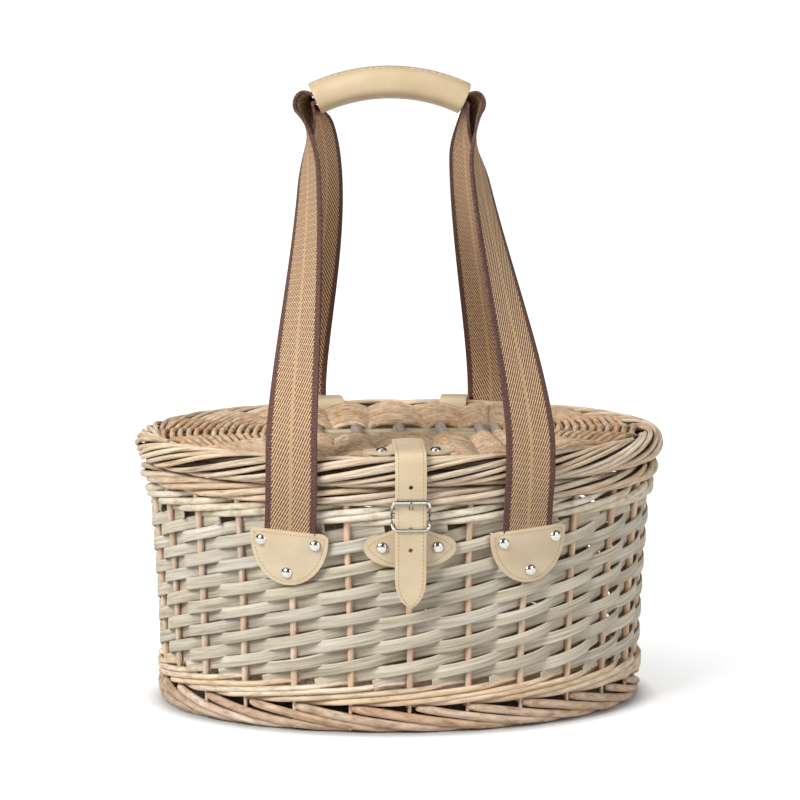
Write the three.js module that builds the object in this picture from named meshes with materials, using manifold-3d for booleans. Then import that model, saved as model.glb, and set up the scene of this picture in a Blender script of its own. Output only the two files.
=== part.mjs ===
// Picnic basket: oval woven body on upright stakes, woven oval lid on leather hinges,
// leather closure with a centre-bar buckle, two webbing carrying straps in a leather grip.
// Millimetres, Z up, the front faces -Y, and the foot stands on Z = 0.
import * as THREE from 'three';
import Module from 'manifold-3d';
import { LoftGeometry } from 'three/addons/geometries/LoftGeometry.js';
import { mergeVertices } from 'three/addons/utils/BufferGeometryUtils.js';

// Overall sizes
const LID_WIDTH = 400;
const LID_DEPTH = 270;
const HANDLE_TOP = 479;

// Heights of the woven layers, from the floor up
const FOOT_HEIGHT = 21;
const LOWER_WALE_HEIGHT = 13;
const WEAVE_HEIGHT = 123;
const UPPER_WALE_HEIGHT = 14;
const TOP_BORDER_HEIGHT = 13;
const LID_HEIGHT = 24;

// Body weave
const STAKES = 26;
const STAKE_DIAMETER = 5;
const WALL_INSET = 21.5;
const WALL_FLARE = 7;
const STRIP_HEIGHT = 8.1;
const STRIP_THICKNESS = 1.8;
const STRIP_SPACING = 0.95;
const WALE_RODS = 2;
const WALE_OVERHANG = 5.5;
const ROD_BULGE = 1.1;
const TOP_BORDER_OVERHANG = 9.6;
const TOP_BORDER_RODS = 2;
const FOOT_OVERHANG = 5.5;
const FOOT_BAND = 16.5;
const FOOT_ROD_RELIEF = 2.2;
const FOOT_ROD_REACH = 1.6;
const BASE_THICKNESS = 6;
const BASE_ROWS = 12;
const BASE_ROW_RELIEF = 1.6;
const BASE_WAVE = 1.4;

// Lid
const LID_BORDER_BAND = 22;
const LID_BORDER_RODS = 3;
const LID_WEAVE_THICKNESS = 9;
const LID_WEAVE_RECESS = 4.5;
const LID_ROWS = 12;
const LID_ROW_RELIEF = 2;
const LID_WAVE = 3.6;
const SLATH_LENGTH = 160;
const SLATH_WIDTH = 44;
const CROSS_STICK_DIAMETER = 6;
const CROSS_STICK_PITCH = 32;
const END_STICK_SPACING = 10;
const STICK_FAN = 1.12;
const CORNER_SPOKES = 3;

// Leather, webbing and metal
const LEATHER = 2;
const TAB_PLACE = 0.43;
const TAB_WIDTH = 57;
const TAB_HEIGHT = 40;
const TAB_SHOULDER = 22;
const TAB_DROP = 42;
const RIVET_DIAMETER = 9;
const RIVET_HEIGHT = 2.2;
const TAB_RIVET_SPREAD = 38;
const WEBBING_WIDTH = 38;
const WEBBING_THICKNESS = 2;
const GRIP_LENGTH = 113;
const GRIP_HEIGHT = 24;
const GRIP_DEPTH = 44;
const GRIP_ARCH = 11;
const GRIP_SHIFT = -7.5;
const OUTER_LOOP_RADIUS = 13;
const OUTER_LOOP_LEAD = 5;
const INNER_LOOP_RADIUS = 7;
const INNER_LOOP_LEAD = 1;
const STRAP_PAIR_OFFSET = 1.7;
const STRAP_SLIDE_CLEARANCE = 1.2;
const STRAP_HANG = 60;
const STRAP_RISE = 60;
const STRAP_TWIST = 1.8;
const STRAP_LEAN = 2;
const HINGE_X = 53;
const HINGE_WIDTH = 21;
const HINGE_TAIL = 26;
const CLOSURE_WIDTH = 22;
const CLOSURE_LEATHER = 1.8;
const CLOSURE_TAIL = 86;
const CLOSURE_POINT = 17;
const CLOSURE_HOLE_DIAMETER = 3.4;
const CLOSURE_HOLE_PITCH = 15.5;
const WING_WIDTH = 64;
const WING_HEIGHT = 29;
const WING_RIVET_SPREAD = 39;
const CHAPE_WIDTH = 18;
const CHAPE_LEATHER = 1.4;
const BUCKLE_BAR_DIAMETER = 2.4;
const BUCKLE_HEIGHT = 21;
const BUCKLE_WIDTH = 26;
const BUCKLE_DROP = 17.6;
const PRONG_DIAMETER = 1.6;
const PRONG_WIDTH = 3;

// Fits and facets
const SEAT = 0.3;
const LOOSE_FIT = 1;
const RING_STEPS = 2 * STAKES;
const LID_STEPS = 60;
const FOOT_STEPS = 4 * STAKES;

// Derived levels and ovals
const { PI, sin, cos, abs, sign, sqrt, asin, acos, atan2, floor, max } = Math;
const TAU = 2 * PI;
const LID_HALF = LID_WIDTH / 2;
const TAB_X = TAB_PLACE * LID_HALF;
const OVAL_DIFFERENCE = (LID_WIDTH - LID_DEPTH) / 2;
const WALL_HALF = LID_HALF - WALL_INSET;
const Z_WALE = FOOT_HEIGHT;
const Z_WEAVE = Z_WALE + LOWER_WALE_HEIGHT;
const Z_UPPER_WALE = Z_WEAVE + WEAVE_HEIGHT;
const Z_BORDER = Z_UPPER_WALE + UPPER_WALE_HEIGHT;
const Z_LID = Z_BORDER + TOP_BORDER_HEIGHT;
const Z_TOP = Z_LID + LID_HEIGHT;
const STAKE_RADIUS = STAKE_DIAMETER / 2;
const STRIP_PITCH = STRIP_HEIGHT + STRIP_SPACING;
const STRIP_SWING = STAKE_RADIUS + STRIP_THICKNESS / 2 + 2 * SEAT;
const CREST = STRIP_SWING + STRIP_THICKNESS / 2;
const LID_BORDER_LINE = LID_HALF - LID_BORDER_BAND / 2;

const wasm = await Module();
wasm.setup();

// Finishes
const FINISH = {
  strip: { color: 0xb5ab93, roughness: 0.75, metalness: 0 },
  rod: { color: 0xcdb08c, roughness: 0.7, metalness: 0 },
  paleRod: { color: 0xd8cfb8, roughness: 0.7, metalness: 0 },
  stick: { color: 0xb3a996, roughness: 0.75, metalness: 0 },
  leather: { color: 0xdcc6a0, roughness: 0.6, metalness: 0 },
  webbing: { color: 0xc79f6e, roughness: 0.9, metalness: 0 },
  nickel: { color: 0xd6d4cf, roughness: 0.2, metalness: 1 },
};

// Closed solid from a geometry: shared corners merged and faces turned outwards
function solid(geometry) {
  const bare = new THREE.BufferGeometry();
  bare.setAttribute('position', geometry.getAttribute('position'));
  bare.setIndex(geometry.index);
  const merged = mergeVertices(bare, 1e-4);
  const index = [];
  const old = merged.index.array;
  for (let i = 0; i < old.length; i += 3) {
    const [a, b, c] = [old[i], old[i + 1], old[i + 2]];
    if (a !== b && b !== c && c !== a) index.push(a, b, c);
  }
  merged.setIndex(signedVolume(merged, index) < 0 ? index.reverse() : index);
  return merged;
}

// Six times the volume inside the faces, below zero when they point inwards
function signedVolume(geometry, index) {
  const at = geometry.getAttribute('position');
  const [a, b, c] = [new THREE.Vector3(), new THREE.Vector3(), new THREE.Vector3()];
  let sum = 0;
  for (let i = 0; i < index.length; i += 3) {
    a.fromBufferAttribute(at, index[i]);
    b.fromBufferAttribute(at, index[i + 1]);
    c.fromBufferAttribute(at, index[i + 2]);
    sum += a.dot(b.cross(c));
  }
  return sum;
}

// Boolean solid from a geometry
function body(geometry) {
  const closed = solid(geometry);
  const vertProperties = new Float32Array(closed.getAttribute('position').array);
  const triVerts = new Uint32Array(closed.index.array);
  return new wasm.Manifold(new wasm.Mesh({ numProp: 3, vertProperties, triVerts }));
}

// Geometry from a boolean solid
function shape(manifold) {
  const mesh = manifold.getMesh();
  const geometry = new THREE.BufferGeometry();
  geometry.setAttribute('position', new THREE.Float32BufferAttribute(mesh.vertProperties, 3));
  geometry.setIndex(Array.from(mesh.triVerts));
  return geometry;
}

// Named mesh in its own material
function piece(name, geometry, finish) {
  const closed = solid(geometry);
  closed.computeVertexNormals();
  const mesh = new THREE.Mesh(closed, new THREE.MeshStandardMaterial(finish));
  mesh.name = name;
  return mesh;
}

// Skin over sections that wind one way round, closed by end caps or running back into itself
function loft(sections, capped = true) {
  const middle = (ring) => ring.reduce((sum, p) => sum.add(p), new THREE.Vector3()).divideScalar(ring.length);
  const first = sections[0];
  const hub = middle(first);
  const forward = middle(sections[1]).sub(hub);
  const facing = new THREE.Vector3();
  first.forEach((p, i) => {
    const next = first[(i + 1) % first.length];
    facing.add(p.clone().sub(hub).cross(next.clone().sub(hub)));
  });
  const wound = facing.dot(forward) < 0 ? sections.map((ring) => [...ring].reverse()) : sections;
  return new LoftGeometry(wound, { capStart: capped, capEnd: capped });
}

// Plan angle of a place counted in stake spacings from the middle of the front
function planAngle(place) {
  return (place / STAKES) * TAU - PI / 2;
}

// Unit vector straight out from the oval of half width half, at plan angle t
function outward(half, t) {
  return new THREE.Vector3((half - OVAL_DIFFERENCE) * cos(t), half * sin(t), 0).normalize();
}

// Point on that oval, pushed out by d, at height z
function onOval(half, t, d, z) {
  const at = new THREE.Vector3(half * cos(t), (half - OVAL_DIFFERENCE) * sin(t), z);
  return at.addScaledVector(outward(half, t), d);
}

// Half width of the oval through the stakes at height z
function wallHalf(z) {
  return WALL_HALF + WALL_FLARE * (z / Z_UPPER_WALE) ** 2;
}

// Plan angle at distance s along the oval from plan angle t
function along(half, t, s) {
  const speed = new THREE.Vector2(half * sin(t), (half - OVAL_DIFFERENCE) * cos(t)).length();
  return t + s / speed;
}

// Ring on an oval: profile(place) gives the section as points of out and up
function ovalRing(half, steps, profile) {
  const sections = [];
  for (let i = 0; i <= steps; i++) {
    const place = ((i % steps) / steps) * STAKES;
    sections.push(profile(place).map((p) => onOval(half, planAngle(place), p.x, p.y)));
  }
  return loft(sections, false);
}

// Section of rods lying on one another, round on the outer side
function rodSection(inner, outer, bottom, top, rods) {
  const points = [new THREE.Vector2(inner, top), new THREE.Vector2(inner, bottom)];
  const rod = (top - bottom) / rods;
  for (let i = 0; i <= 2 * rods; i++) {
    const bulge = i % 2 ? 0 : ROD_BULGE;
    points.push(new THREE.Vector2(outer - bulge, bottom + (i * rod) / 2));
  }
  return points;
}

// Band of even width through frames of a place, a side and a face direction
function band(frames, width, thickness) {
  const sections = frames.map(({ at, side, face, taper = 1 }) => {
    const reach = (a, b) =>
      at.clone().addScaledVector(side, (a * width * taper) / 2).addScaledVector(face, (b * thickness) / 2);
    return [reach(1, 1), reach(0, 1), reach(-1, 1), reach(-1, -1), reach(0, -1), reach(1, -1)];
  });
  return loft(sections);
}

// Round bar between two points
function bar(from, to, diameter, sides) {
  const path = new THREE.LineCurve3(from, to);
  const ring = new THREE.Shape();
  ring.absarc(0, 0, diameter / 2, 0, TAU);
  const options = { steps: 1, extrudePath: path, curveSegments: sides };
  return new THREE.ExtrudeGeometry(ring, options);
}

// Domed rivet head at a place, facing out
function rivetHead(at, face) {
  const r = RIVET_DIAMETER / 2;
  const profile = [
    new THREE.Vector2(0, -LEATHER / 2),
    new THREE.Vector2(r, -LEATHER / 2),
    new THREE.Vector2(r, RIVET_HEIGHT * 0.3),
    new THREE.Vector2(r * 0.62, RIVET_HEIGHT * 0.85),
    new THREE.Vector2(0, RIVET_HEIGHT),
  ];
  const dome = new THREE.LatheGeometry(profile, 9);
  dome.applyQuaternion(new THREE.Quaternion().setFromUnitVectors(new THREE.Vector3(0, 1, 0), face));
  return dome.translate(at.x, at.y, at.z);
}

// Leather patch on the wall: outline(f) gives its lower and upper edge across its width
function wallPatch(middle, width, columns, depth, outline) {
  const sections = [];
  for (let i = 0; i <= columns; i++) {
    const f = -cos((i / columns) * PI);
    const [low, high] = outline(f);
    const corner = (z, d) => {
      const half = wallHalf(z);
      return onOval(half, along(half, middle, (f * width) / 2), d, z);
    };
    const inner = CREST + SEAT;
    const outer = inner + depth;
    sections.push([corner(low, inner), corner(low, outer), corner(high, outer), corner(high, inner)]);
  }
  return loft(sections);
}

const basket = new THREE.Group();
const lid = new THREE.Group();
const carrier = new THREE.Group();
const buckle = new THREE.Group();

// Foot border: slanting rods laid round the foot over a flat tread
function footSection(place) {
  const inner = FOOT_OVERHANG - FOOT_BAND;
  const levels = [0.22, 0.5, 0.78];
  const sides = levels.map((f) => {
    const wave = cos(TAU * (place - (1 - f) * FOOT_ROD_REACH));
    return new THREE.Vector2(FOOT_OVERHANG - (FOOT_ROD_RELIEF / 2) * (1 + wave), f * FOOT_HEIGHT);
  });
  const shy = FOOT_OVERHANG - FOOT_ROD_RELIEF;
  const tread = [new THREE.Vector2(inner, 0), new THREE.Vector2(shy - 1, 0)];
  const crown = [new THREE.Vector2(shy, FOOT_HEIGHT), new THREE.Vector2(inner, FOOT_HEIGHT)];
  return [...tread, ...sides, ...crown];
}
basket.add(piece('foot_border', ovalRing(WALL_HALF, FOOT_STEPS, footSection), FINISH.rod));

// Upright stake at a place, grown by a clearance
function stake(place, low, high, clearance) {
  const levels = [0, 1 / 3, 2 / 3, 1].map((f) => low + f * (high - low));
  const t = planAngle(place);
  const sections = levels.map((z) => {
    const at = onOval(wallHalf(z), t, 0, z);
    const ring = [];
    for (let i = 0; i < 6; i++) {
      const turn = (i / 6) * TAU;
      const reach = STAKE_RADIUS + clearance;
      ring.push(new THREE.Vector3(at.x + reach * cos(turn), at.y + reach * sin(turn), z));
    }
    return ring;
  });
  return body(loft(sections));
}

// Waled bands below and above the weave, with a way through for every stake
function wale(name, low, high, finish) {
  const section = rodSection(-WALE_OVERHANG, WALE_OVERHANG, low, high, WALE_RODS);
  let ring = body(ovalRing(wallHalf((low + high) / 2), RING_STEPS, () => section));
  for (let i = 0; i < STAKES; i++) {
    ring = ring.subtract(stake(i, Z_WALE, Z_BORDER + TOP_BORDER_HEIGHT / 2, SEAT));
  }
  basket.add(piece(name, shape(ring), finish));
}
wale('lower_wale', Z_WALE + SEAT, Z_WEAVE, FINISH.rod);
wale('upper_wale', Z_UPPER_WALE + SEAT, Z_BORDER, FINISH.paleRod);

// Top border with the stakes that turn down into it
const borderLine = wallHalf(Z_BORDER + TOP_BORDER_HEIGHT / 2);
const borderSection = rodSection(
  -TOP_BORDER_OVERHANG, TOP_BORDER_OVERHANG, Z_BORDER + SEAT, Z_LID, TOP_BORDER_RODS);
let topBorder = body(ovalRing(borderLine, RING_STEPS, () => borderSection));
for (let i = 0; i < STAKES; i++) {
  topBorder = topBorder.add(stake(i, Z_WALE + SEAT, Z_BORDER + TOP_BORDER_HEIGHT / 2, 0));
}
basket.add(piece('top_border_and_stakes', shape(topBorder), FINISH.rod));

// Woven strips: each starts at its own stake and climbs one row at every stake it passes
const strideCount = floor((WEAVE_HEIGHT - 2 * SEAT - STRIP_HEIGHT) / STRIP_PITCH);
const climbStart = Z_WEAVE + (WEAVE_HEIGHT - strideCount * STRIP_PITCH) / 2;
for (let i = 0; i < STAKES; i++) {
  const sections = [];
  for (let k = 0; k <= strideCount; k++) {
    const swing = k % 2 ? STRIP_SWING : -STRIP_SWING;
    const corner = (rise, d) => {
      const z = climbStart + k * STRIP_PITCH + (rise * STRIP_HEIGHT) / 2;
      return onOval(wallHalf(z), planAngle(i + k), swing + (d * STRIP_THICKNESS) / 2, z);
    };
    sections.push([corner(-1, -1), corner(-1, 1), corner(1, 1), corner(1, -1)]);
  }
  const strip = loft(sections);
  basket.add(piece(`weave_strip_${String(i + 1).padStart(2, '0')}`, strip, FINISH.strip));
}

// Lid border
const lidSection = rodSection(
  -LID_BORDER_BAND / 2, LID_BORDER_BAND / 2, Z_LID + SEAT, Z_TOP, LID_BORDER_RODS);
lid.add(piece('lid_border', ovalRing(LID_BORDER_LINE, LID_STEPS, () => lidSection), FINISH.rod));

// Rounded oblong round the slath, grown by d
function slathEdge(t, d, z) {
  const c = cos(t);
  const s = sin(t);
  const x = (SLATH_LENGTH / 2 + d) * sign(c) * sqrt(abs(c));
  const y = (SLATH_WIDTH / 2 + d) * sign(s) * sqrt(abs(s));
  return new THREE.Vector3(x, y, z);
}

// Cross sticks of a slath, counted from its middle, doubled at the ends
const endStick = 2 * CROSS_STICK_PITCH - END_STICK_SPACING / 2;
const stickPlaces = [0, CROSS_STICK_PITCH, endStick, endStick + END_STICK_SPACING];

// Plan angles of every spoke where it leaves the slath and where it meets the rim
function spokeRing(rimHalf) {
  const sticks = stickPlaces.map((x) => {
    const inner = PI / 2 - asin((2 * x / SLATH_LENGTH) ** 2);
    return { inner, outer: acos((x * STICK_FAN) / rimHalf) };
  }).reverse();
  const corners = [];
  for (let i = 0; i < CORNER_SPOKES; i++) {
    const f = i / CORNER_SPOKES;
    corners.push({ inner: f * sticks[0].inner, outer: f * sticks[0].outer });
  }
  const quarter = [...corners, ...sticks];
  const mirrored = (list, about) => list.map(({ inner, outer }) => ({ inner: about - inner, outer: about - outer }));
  const turned = (list, by) => list.map(({ inner, outer }) => ({ inner: by + inner, outer: by + outer }));
  return [
    ...quarter,
    ...mirrored(quarter.slice(0, -1).reverse(), PI),
    ...turned(quarter.slice(1), PI),
    ...mirrored(quarter.slice(1, -1).reverse(), TAU),
  ];
}

// Rows of paired rods round a slath: high where a rod crosses a spoke and low between two spokes
function pairedRows(rim, gap, flat, crest, rows, relief, wave) {
  const ring = spokeRing(rim.half + rim.out);
  const toFlat = sign(flat - crest);
  const sections = [];
  for (let i = 0; i <= 2 * ring.length; i++) {
    const from = ring[floor((i % (2 * ring.length)) / 2)];
    const next = ring[(floor((i % (2 * ring.length)) / 2) + 1) % ring.length];
    const half = i % 2 ? 0.5 : 0;
    const wrap = next.inner < from.inner ? TAU : 0;
    const inner = from.inner + half * (next.inner + wrap - from.inner);
    const outer = from.outer + half * (next.outer + wrap - from.outer);
    const within = (f, z) => slathEdge(inner, gap, z).lerp(onOval(rim.half, outer, rim.out, z), f);
    const section = [within(0, flat), within(1, flat)];
    for (let k = 2 * rows; k >= 0; k--) {
      const dip = (k % 2 ? 0 : relief) + 2 * half * wave * (k % 2 ? 1 : 0.6);
      section.push(within(k / (2 * rows), crest + toFlat * dip));
    }
    sections.push(section);
  }
  return loft(sections, false);
}

// Flat slats of a slath between two levels
function slatBlock(low, high) {
  const rims = [low, high].map((z) => {
    const rim = [];
    for (let i = 0; i < LID_STEPS; i++) rim.push(slathEdge(planAngle((i / LID_STEPS) * STAKES), 0, z));
    return rim;
  });
  return body(loft(rims));
}

// Woven base panel, let in inside the lower wale and resting on the foot
const baseRim = { half: wallHalf(Z_WALE + LOWER_WALE_HEIGHT / 2), out: -WALE_OVERHANG - SEAT };
const baseLow = Z_WALE + SEAT;
const baseHigh = baseLow + BASE_THICKNESS;
const baseRows = pairedRows(baseRim, -LOOSE_FIT, baseHigh, baseLow, BASE_ROWS, BASE_ROW_RELIEF, BASE_WAVE);
const basePanel = body(baseRows).add(slatBlock(baseLow + BASE_ROW_RELIEF / 2, baseHigh));
basket.add(piece('base_panel', shape(basePanel), FINISH.rod));

// Lid weave: paired rows running round the slath out to the border
const lidWeaveTop = Z_TOP - LID_WEAVE_RECESS;
const lidWeaveLow = lidWeaveTop - LID_WEAVE_THICKNESS;
const lidRim = { half: LID_BORDER_LINE, out: -LID_BORDER_BAND / 2 - 2 * SEAT };
const lidRows = pairedRows(lidRim, SEAT, lidWeaveLow, lidWeaveTop, LID_ROWS, LID_ROW_RELIEF, LID_WAVE);
lid.add(piece('lid_weave', lidRows, FINISH.rod));

// Slath: flat slats along the lid with cross sticks over them, doubled at the ends
const slathTop = lidWeaveTop - LID_ROW_RELIEF;
let slath = slatBlock(lidWeaveLow, slathTop);
for (const place of [...stickPlaces, ...stickPlaces.slice(1).map((x) => -x)]) {
  const half = (SLATH_WIDTH / 2) * (1 - (2 * place / SLATH_LENGTH) ** 4) ** 0.25 - LOOSE_FIT;
  const from = new THREE.Vector3(place, -half, slathTop);
  slath = slath.add(body(bar(from, from.clone().setY(half), CROSS_STICK_DIAMETER, 6)));
}
lid.add(piece('lid_slath', shape(slath), FINISH.stick));

// Leather tabs that hold the carrying straps, three rivets each
const tabHalf = wallHalf(Z_UPPER_WALE - TAB_DROP / 2);
const tabAngle = acos(TAB_X / tabHalf);
const tabTop = Z_UPPER_WALE - TAB_DROP + TAB_HEIGHT - 3;
const tabLow = tabTop - TAB_HEIGHT;
const TAB_PLACES = {
  front_right: -tabAngle,
  front_left: tabAngle - PI,
  rear_right: tabAngle,
  rear_left: PI - tabAngle,
};
for (const [name, t] of Object.entries(TAB_PLACES)) {
  const outline = (f) => {
    const low = tabLow + (TAB_HEIGHT - TAB_SHOULDER) * (1 - sqrt(max(0, 1 - f * f)));
    return [low, tabTop - 4 * f ** 8];
  };
  let tab = body(wallPatch(t, TAB_WIDTH, 10, LEATHER, outline));
  const rivets = [
    [-TAB_RIVET_SPREAD / 2, tabTop - RIVET_DIAMETER],
    [TAB_RIVET_SPREAD / 2, tabTop - RIVET_DIAMETER],
    [0, tabLow + RIVET_DIAMETER],
  ];
  for (const [s, z] of rivets) {
    const half = wallHalf(z);
    const turn = along(half, t, s);
    tab = tab.add(body(rivetHead(onOval(half, turn, CREST + SEAT + LEATHER, z), outward(half, turn))));
  }
  basket.add(piece(`handle_tab_${name}`, shape(tab), FINISH.leather));
}

// Path of a carrying strap from one tab over the grip to the other
const gripLine = HANDLE_TOP - GRIP_HEIGHT / 2;
const gripRadius = (GRIP_LENGTH / 2) ** 2 / (2 * GRIP_ARCH) + GRIP_ARCH / 2;
const gripFall = asin(GRIP_LENGTH / 2 / gripRadius);

// One half of the strap, from the middle of the grip down to its tab
function strapHalf(hand, ward, level) {
  const frames = [];
  const put = (x, y, z, face) => {
    frames.push({ at: new THREE.Vector3(GRIP_SHIFT + hand * x, ward * y, z), face });
  };
  const sideways = (angle) => new THREE.Vector3(hand * sin(angle), 0, cos(angle));
  const run = gripRadius + level;
  for (let i = 0; i <= 4; i++) {
    const a = (i / 4) * gripFall;
    put(run * sin(a), 0, gripLine - gripRadius + run * cos(a), sideways(a));
  }
  const radius = level > 0 ? OUTER_LOOP_RADIUS : INNER_LOOP_RADIUS;
  const lead = level > 0 ? OUTER_LOOP_LEAD : INNER_LOOP_LEAD;
  const bend = radius + level;
  const hubX = (gripRadius - radius) * sin(gripFall) + lead * cos(gripFall);
  const hubZ = gripLine - gripRadius + (gripRadius - radius) * cos(gripFall) - lead * sin(gripFall);
  for (let i = 0; i <= 4; i++) {
    const a = gripFall + (i / 4) * (PI / 2 - gripFall);
    put(hubX + bend * sin(a), 0, hubZ + bend * cos(a), sideways(a));
  }
  const t = ward < 0
    ? (hand > 0 ? TAB_PLACES.front_right : TAB_PLACES.front_left)
    : (hand > 0 ? TAB_PLACES.rear_right : TAB_PLACES.rear_left);
  const lift = LOOSE_FIT + WEBBING_THICKNESS / 2;
  const crossing = TAB_X - STRAP_LEAN;
  const beside = (half, out, z, x) => {
    const a = acos(x / (half + out)) * ward;
    const turn = hand > 0 ? a : PI - a;
    return { at: onOval(half, turn, out, z), face: outward(half, turn) };
  };
  const { at: over, face: wallFace } = beside(LID_HALF, lift, Z_TOP + lift, crossing);
  const from = frames[frames.length - 1].at.clone();
  const leave = from.clone().setZ(from.z - STRAP_HANG);
  const arrive = over.clone().setZ(over.z + STRAP_RISE);
  const hang = new THREE.CubicBezierCurve3(from, leave, arrive, over);
  const rows = 18;
  for (let i = 1; i <= rows; i++) {
    const at = hang.getPoint((i / rows) ** 1.6);
    const up = (at.z - over.z) / (from.z - over.z);
    const face = new THREE.Vector3(hand, 0, 0);
    const swing = atan2(wallFace.y, wallFace.x) - atan2(0, hand);
    const nearest = atan2(sin(swing), cos(swing));
    const turned = nearest * (1 - up ** STRAP_TWIST);
    frames.push({ at, face: face.applyAxisAngle(new THREE.Vector3(0, 0, 1), turned) });
  }
  const lowest = tabTop + SEAT;
  const end = CREST + 2 * SEAT + WEBBING_THICKNESS / 2;
  frames.push(beside(LID_HALF, lift, (Z_LID + Z_TOP) / 2, crossing));
  frames.push(beside(LID_HALF, lift, Z_LID, crossing));
  const borderOut = TOP_BORDER_OVERHANG + lift;
  frames.push({ at: onOval(borderLine, t, borderOut, Z_BORDER), face: outward(borderLine, t) });
  const tabFace = outward(tabHalf, t);
  for (const z of [lowest + 2 * WEBBING_THICKNESS, lowest]) {
    frames.push({ at: onOval(wallHalf(lowest), t, end, z), face: tabFace });
  }
  return frames;
}

// Frames with the width set square to the run of the strap
function squared(frames) {
  return frames.map(({ at, face }, i) => {
    const before = frames[max(0, i - 1)].at;
    const after = frames[Math.min(frames.length - 1, i + 1)].at;
    const run = after.clone().sub(before).normalize();
    const side = run.clone().cross(face).normalize();
    return { at, side, face: side.clone().cross(run).normalize() };
  });
}
function carryingStrap(ward, level) {
  const left = strapHalf(-1, ward, level);
  const right = strapHalf(1, ward, level);
  const frames = squared([...left.reverse(), ...right.slice(1)]);
  return band(frames, WEBBING_WIDTH, WEBBING_THICKNESS);
}
carrier.add(piece('front_webbing', carryingStrap(-1, STRAP_PAIR_OFFSET), FINISH.webbing));
carrier.add(piece('rear_webbing', carryingStrap(1, -STRAP_PAIR_OFFSET), FINISH.webbing));

// Leather grip wrapped round both straps, open along a seam at the back
function gripSection(angle) {
  const walls = [];
  const slotLow = -STRAP_PAIR_OFFSET - WEBBING_THICKNESS / 2 - STRAP_SLIDE_CLEARANCE;
  const slotHigh = -STRAP_PAIR_OFFSET + WEBBING_THICKNESS / 2 + STRAP_SLIDE_CLEARANCE;
  const roof = STRAP_PAIR_OFFSET + WEBBING_THICKNESS / 2 + SEAT;
  const reach = WEBBING_WIDTH / 2 + SEAT;
  const rim = (z) => (GRIP_DEPTH / 2) * (1 - abs((2 * z) / GRIP_HEIGHT) ** 2.6) ** (1 / 2.6);
  const turns = 14;
  walls.push([rim(slotHigh), slotHigh]);
  for (let i = 1; i < turns; i++) {
    const a = (i / turns) * TAU;
    const y = (GRIP_DEPTH / 2) * sign(cos(a)) * abs(cos(a)) ** (2 / 2.6);
    walls.push([y, (GRIP_HEIGHT / 2) * sign(sin(a)) * abs(sin(a)) ** (2 / 2.6)]);
  }
  walls.push([rim(slotLow), slotLow], [-reach - SEAT, slotLow]);
  walls.push([-reach - SEAT, roof], [reach, roof], [reach, slotHigh]);
  return walls.map(([y, z]) => {
    const run = gripRadius + z;
    return new THREE.Vector3(GRIP_SHIFT + run * sin(angle), y, gripLine - gripRadius + run * cos(angle));
  });
}
const gripSections = [];
for (let i = 0; i <= 8; i++) gripSections.push(gripSection(gripFall * (i / 4 - 1)));
carrier.add(piece('grip_wrap', loft(gripSections), FINISH.leather));

// Band that keeps to an upright plane through plan angle t, through points of out and up
function uprightBand(half, t, points, width, thickness) {
  const face = outward(half, t);
  const side = new THREE.Vector3(-face.y, face.x, 0);
  const frames = points.map(([d, z], i) => {
    const [d0, z0] = points[max(0, i - 1)];
    const [d1, z1] = points[Math.min(points.length - 1, i + 1)];
    const run = new THREE.Vector2(d1 - d0, z1 - z0).normalize();
    const lean = new THREE.Vector3(face.x * run.y, face.y * run.y, -run.x);
    return { at: onOval(half, t, d, z), side, face: lean };
  });
  return band(frames, width, thickness);
}

// Leather hinges: upper halves round the lid border, lower halves down the body border
const hingeFit = SEAT + LEATHER / 2 + SEAT;
const hingeAngle = acos(HINGE_X / LID_HALF);
for (const [name, t] of [['right', hingeAngle], ['left', PI - hingeAngle]]) {
  const outer = LID_BORDER_BAND / 2 + hingeFit;
  const crown = Z_TOP + hingeFit;
  const upper = [
    [outer, Z_LID + SEAT],
    [outer, crown - LEATHER],
    [outer - LEATHER / 2, crown],
    [LEATHER / 2 - outer, crown],
    [-outer, crown - LEATHER],
    [-outer, lidWeaveTop + SEAT],
  ];
  const upperBand = uprightBand(LID_BORDER_LINE, t, upper, HINGE_WIDTH, LEATHER);
  lid.add(piece(`hinge_upper_${name}`, upperBand, FINISH.leather));
  const wallOut = WALE_OVERHANG + hingeFit;
  const lower = [
    [TOP_BORDER_OVERHANG + hingeFit, Z_LID - SEAT],
    [TOP_BORDER_OVERHANG + hingeFit, Z_BORDER + LEATHER],
    [wallOut + SEAT, Z_UPPER_WALE + UPPER_WALE_HEIGHT / 2],
    [wallOut + SEAT, Z_LID - HINGE_TAIL],
  ];
  const lowerBand = uprightBand(borderLine, t, lower, HINGE_WIDTH, LEATHER);
  basket.add(piece(`hinge_lower_${name}`, lowerBand, FINISH.leather));
}

// Winged leather outline: full in the middle, waisted, round at the wings
function wing(f) {
  const waist = 0.72 + 0.28 * cos(f * PI) ** 2;
  return (WING_HEIGHT / 2) * waist * sqrt(max(0.02, 1 - f ** 6));
}

// Lower winged tab on the wall under the buckle
const FRONT = -PI / 2;
const barZ = Z_LID - BUCKLE_DROP;
const wingZ = barZ - BUCKLE_HEIGHT / 2 - WING_HEIGHT / 2 - SEAT;
let closureTab = body(wallPatch(FRONT, WING_WIDTH, 12, LEATHER, (f) => [wingZ - wing(f), wingZ + wing(f)]));
for (const s of [-WING_RIVET_SPREAD / 2, WING_RIVET_SPREAD / 2]) {
  const half = wallHalf(wingZ);
  const turn = along(half, FRONT, s);
  const at = onOval(half, turn, CREST + SEAT + LEATHER, wingZ);
  closureTab = closureTab.add(body(rivetHead(at, outward(half, turn))));
}
basket.add(piece('closure_tab', shape(closureTab), FINISH.leather));

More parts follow.
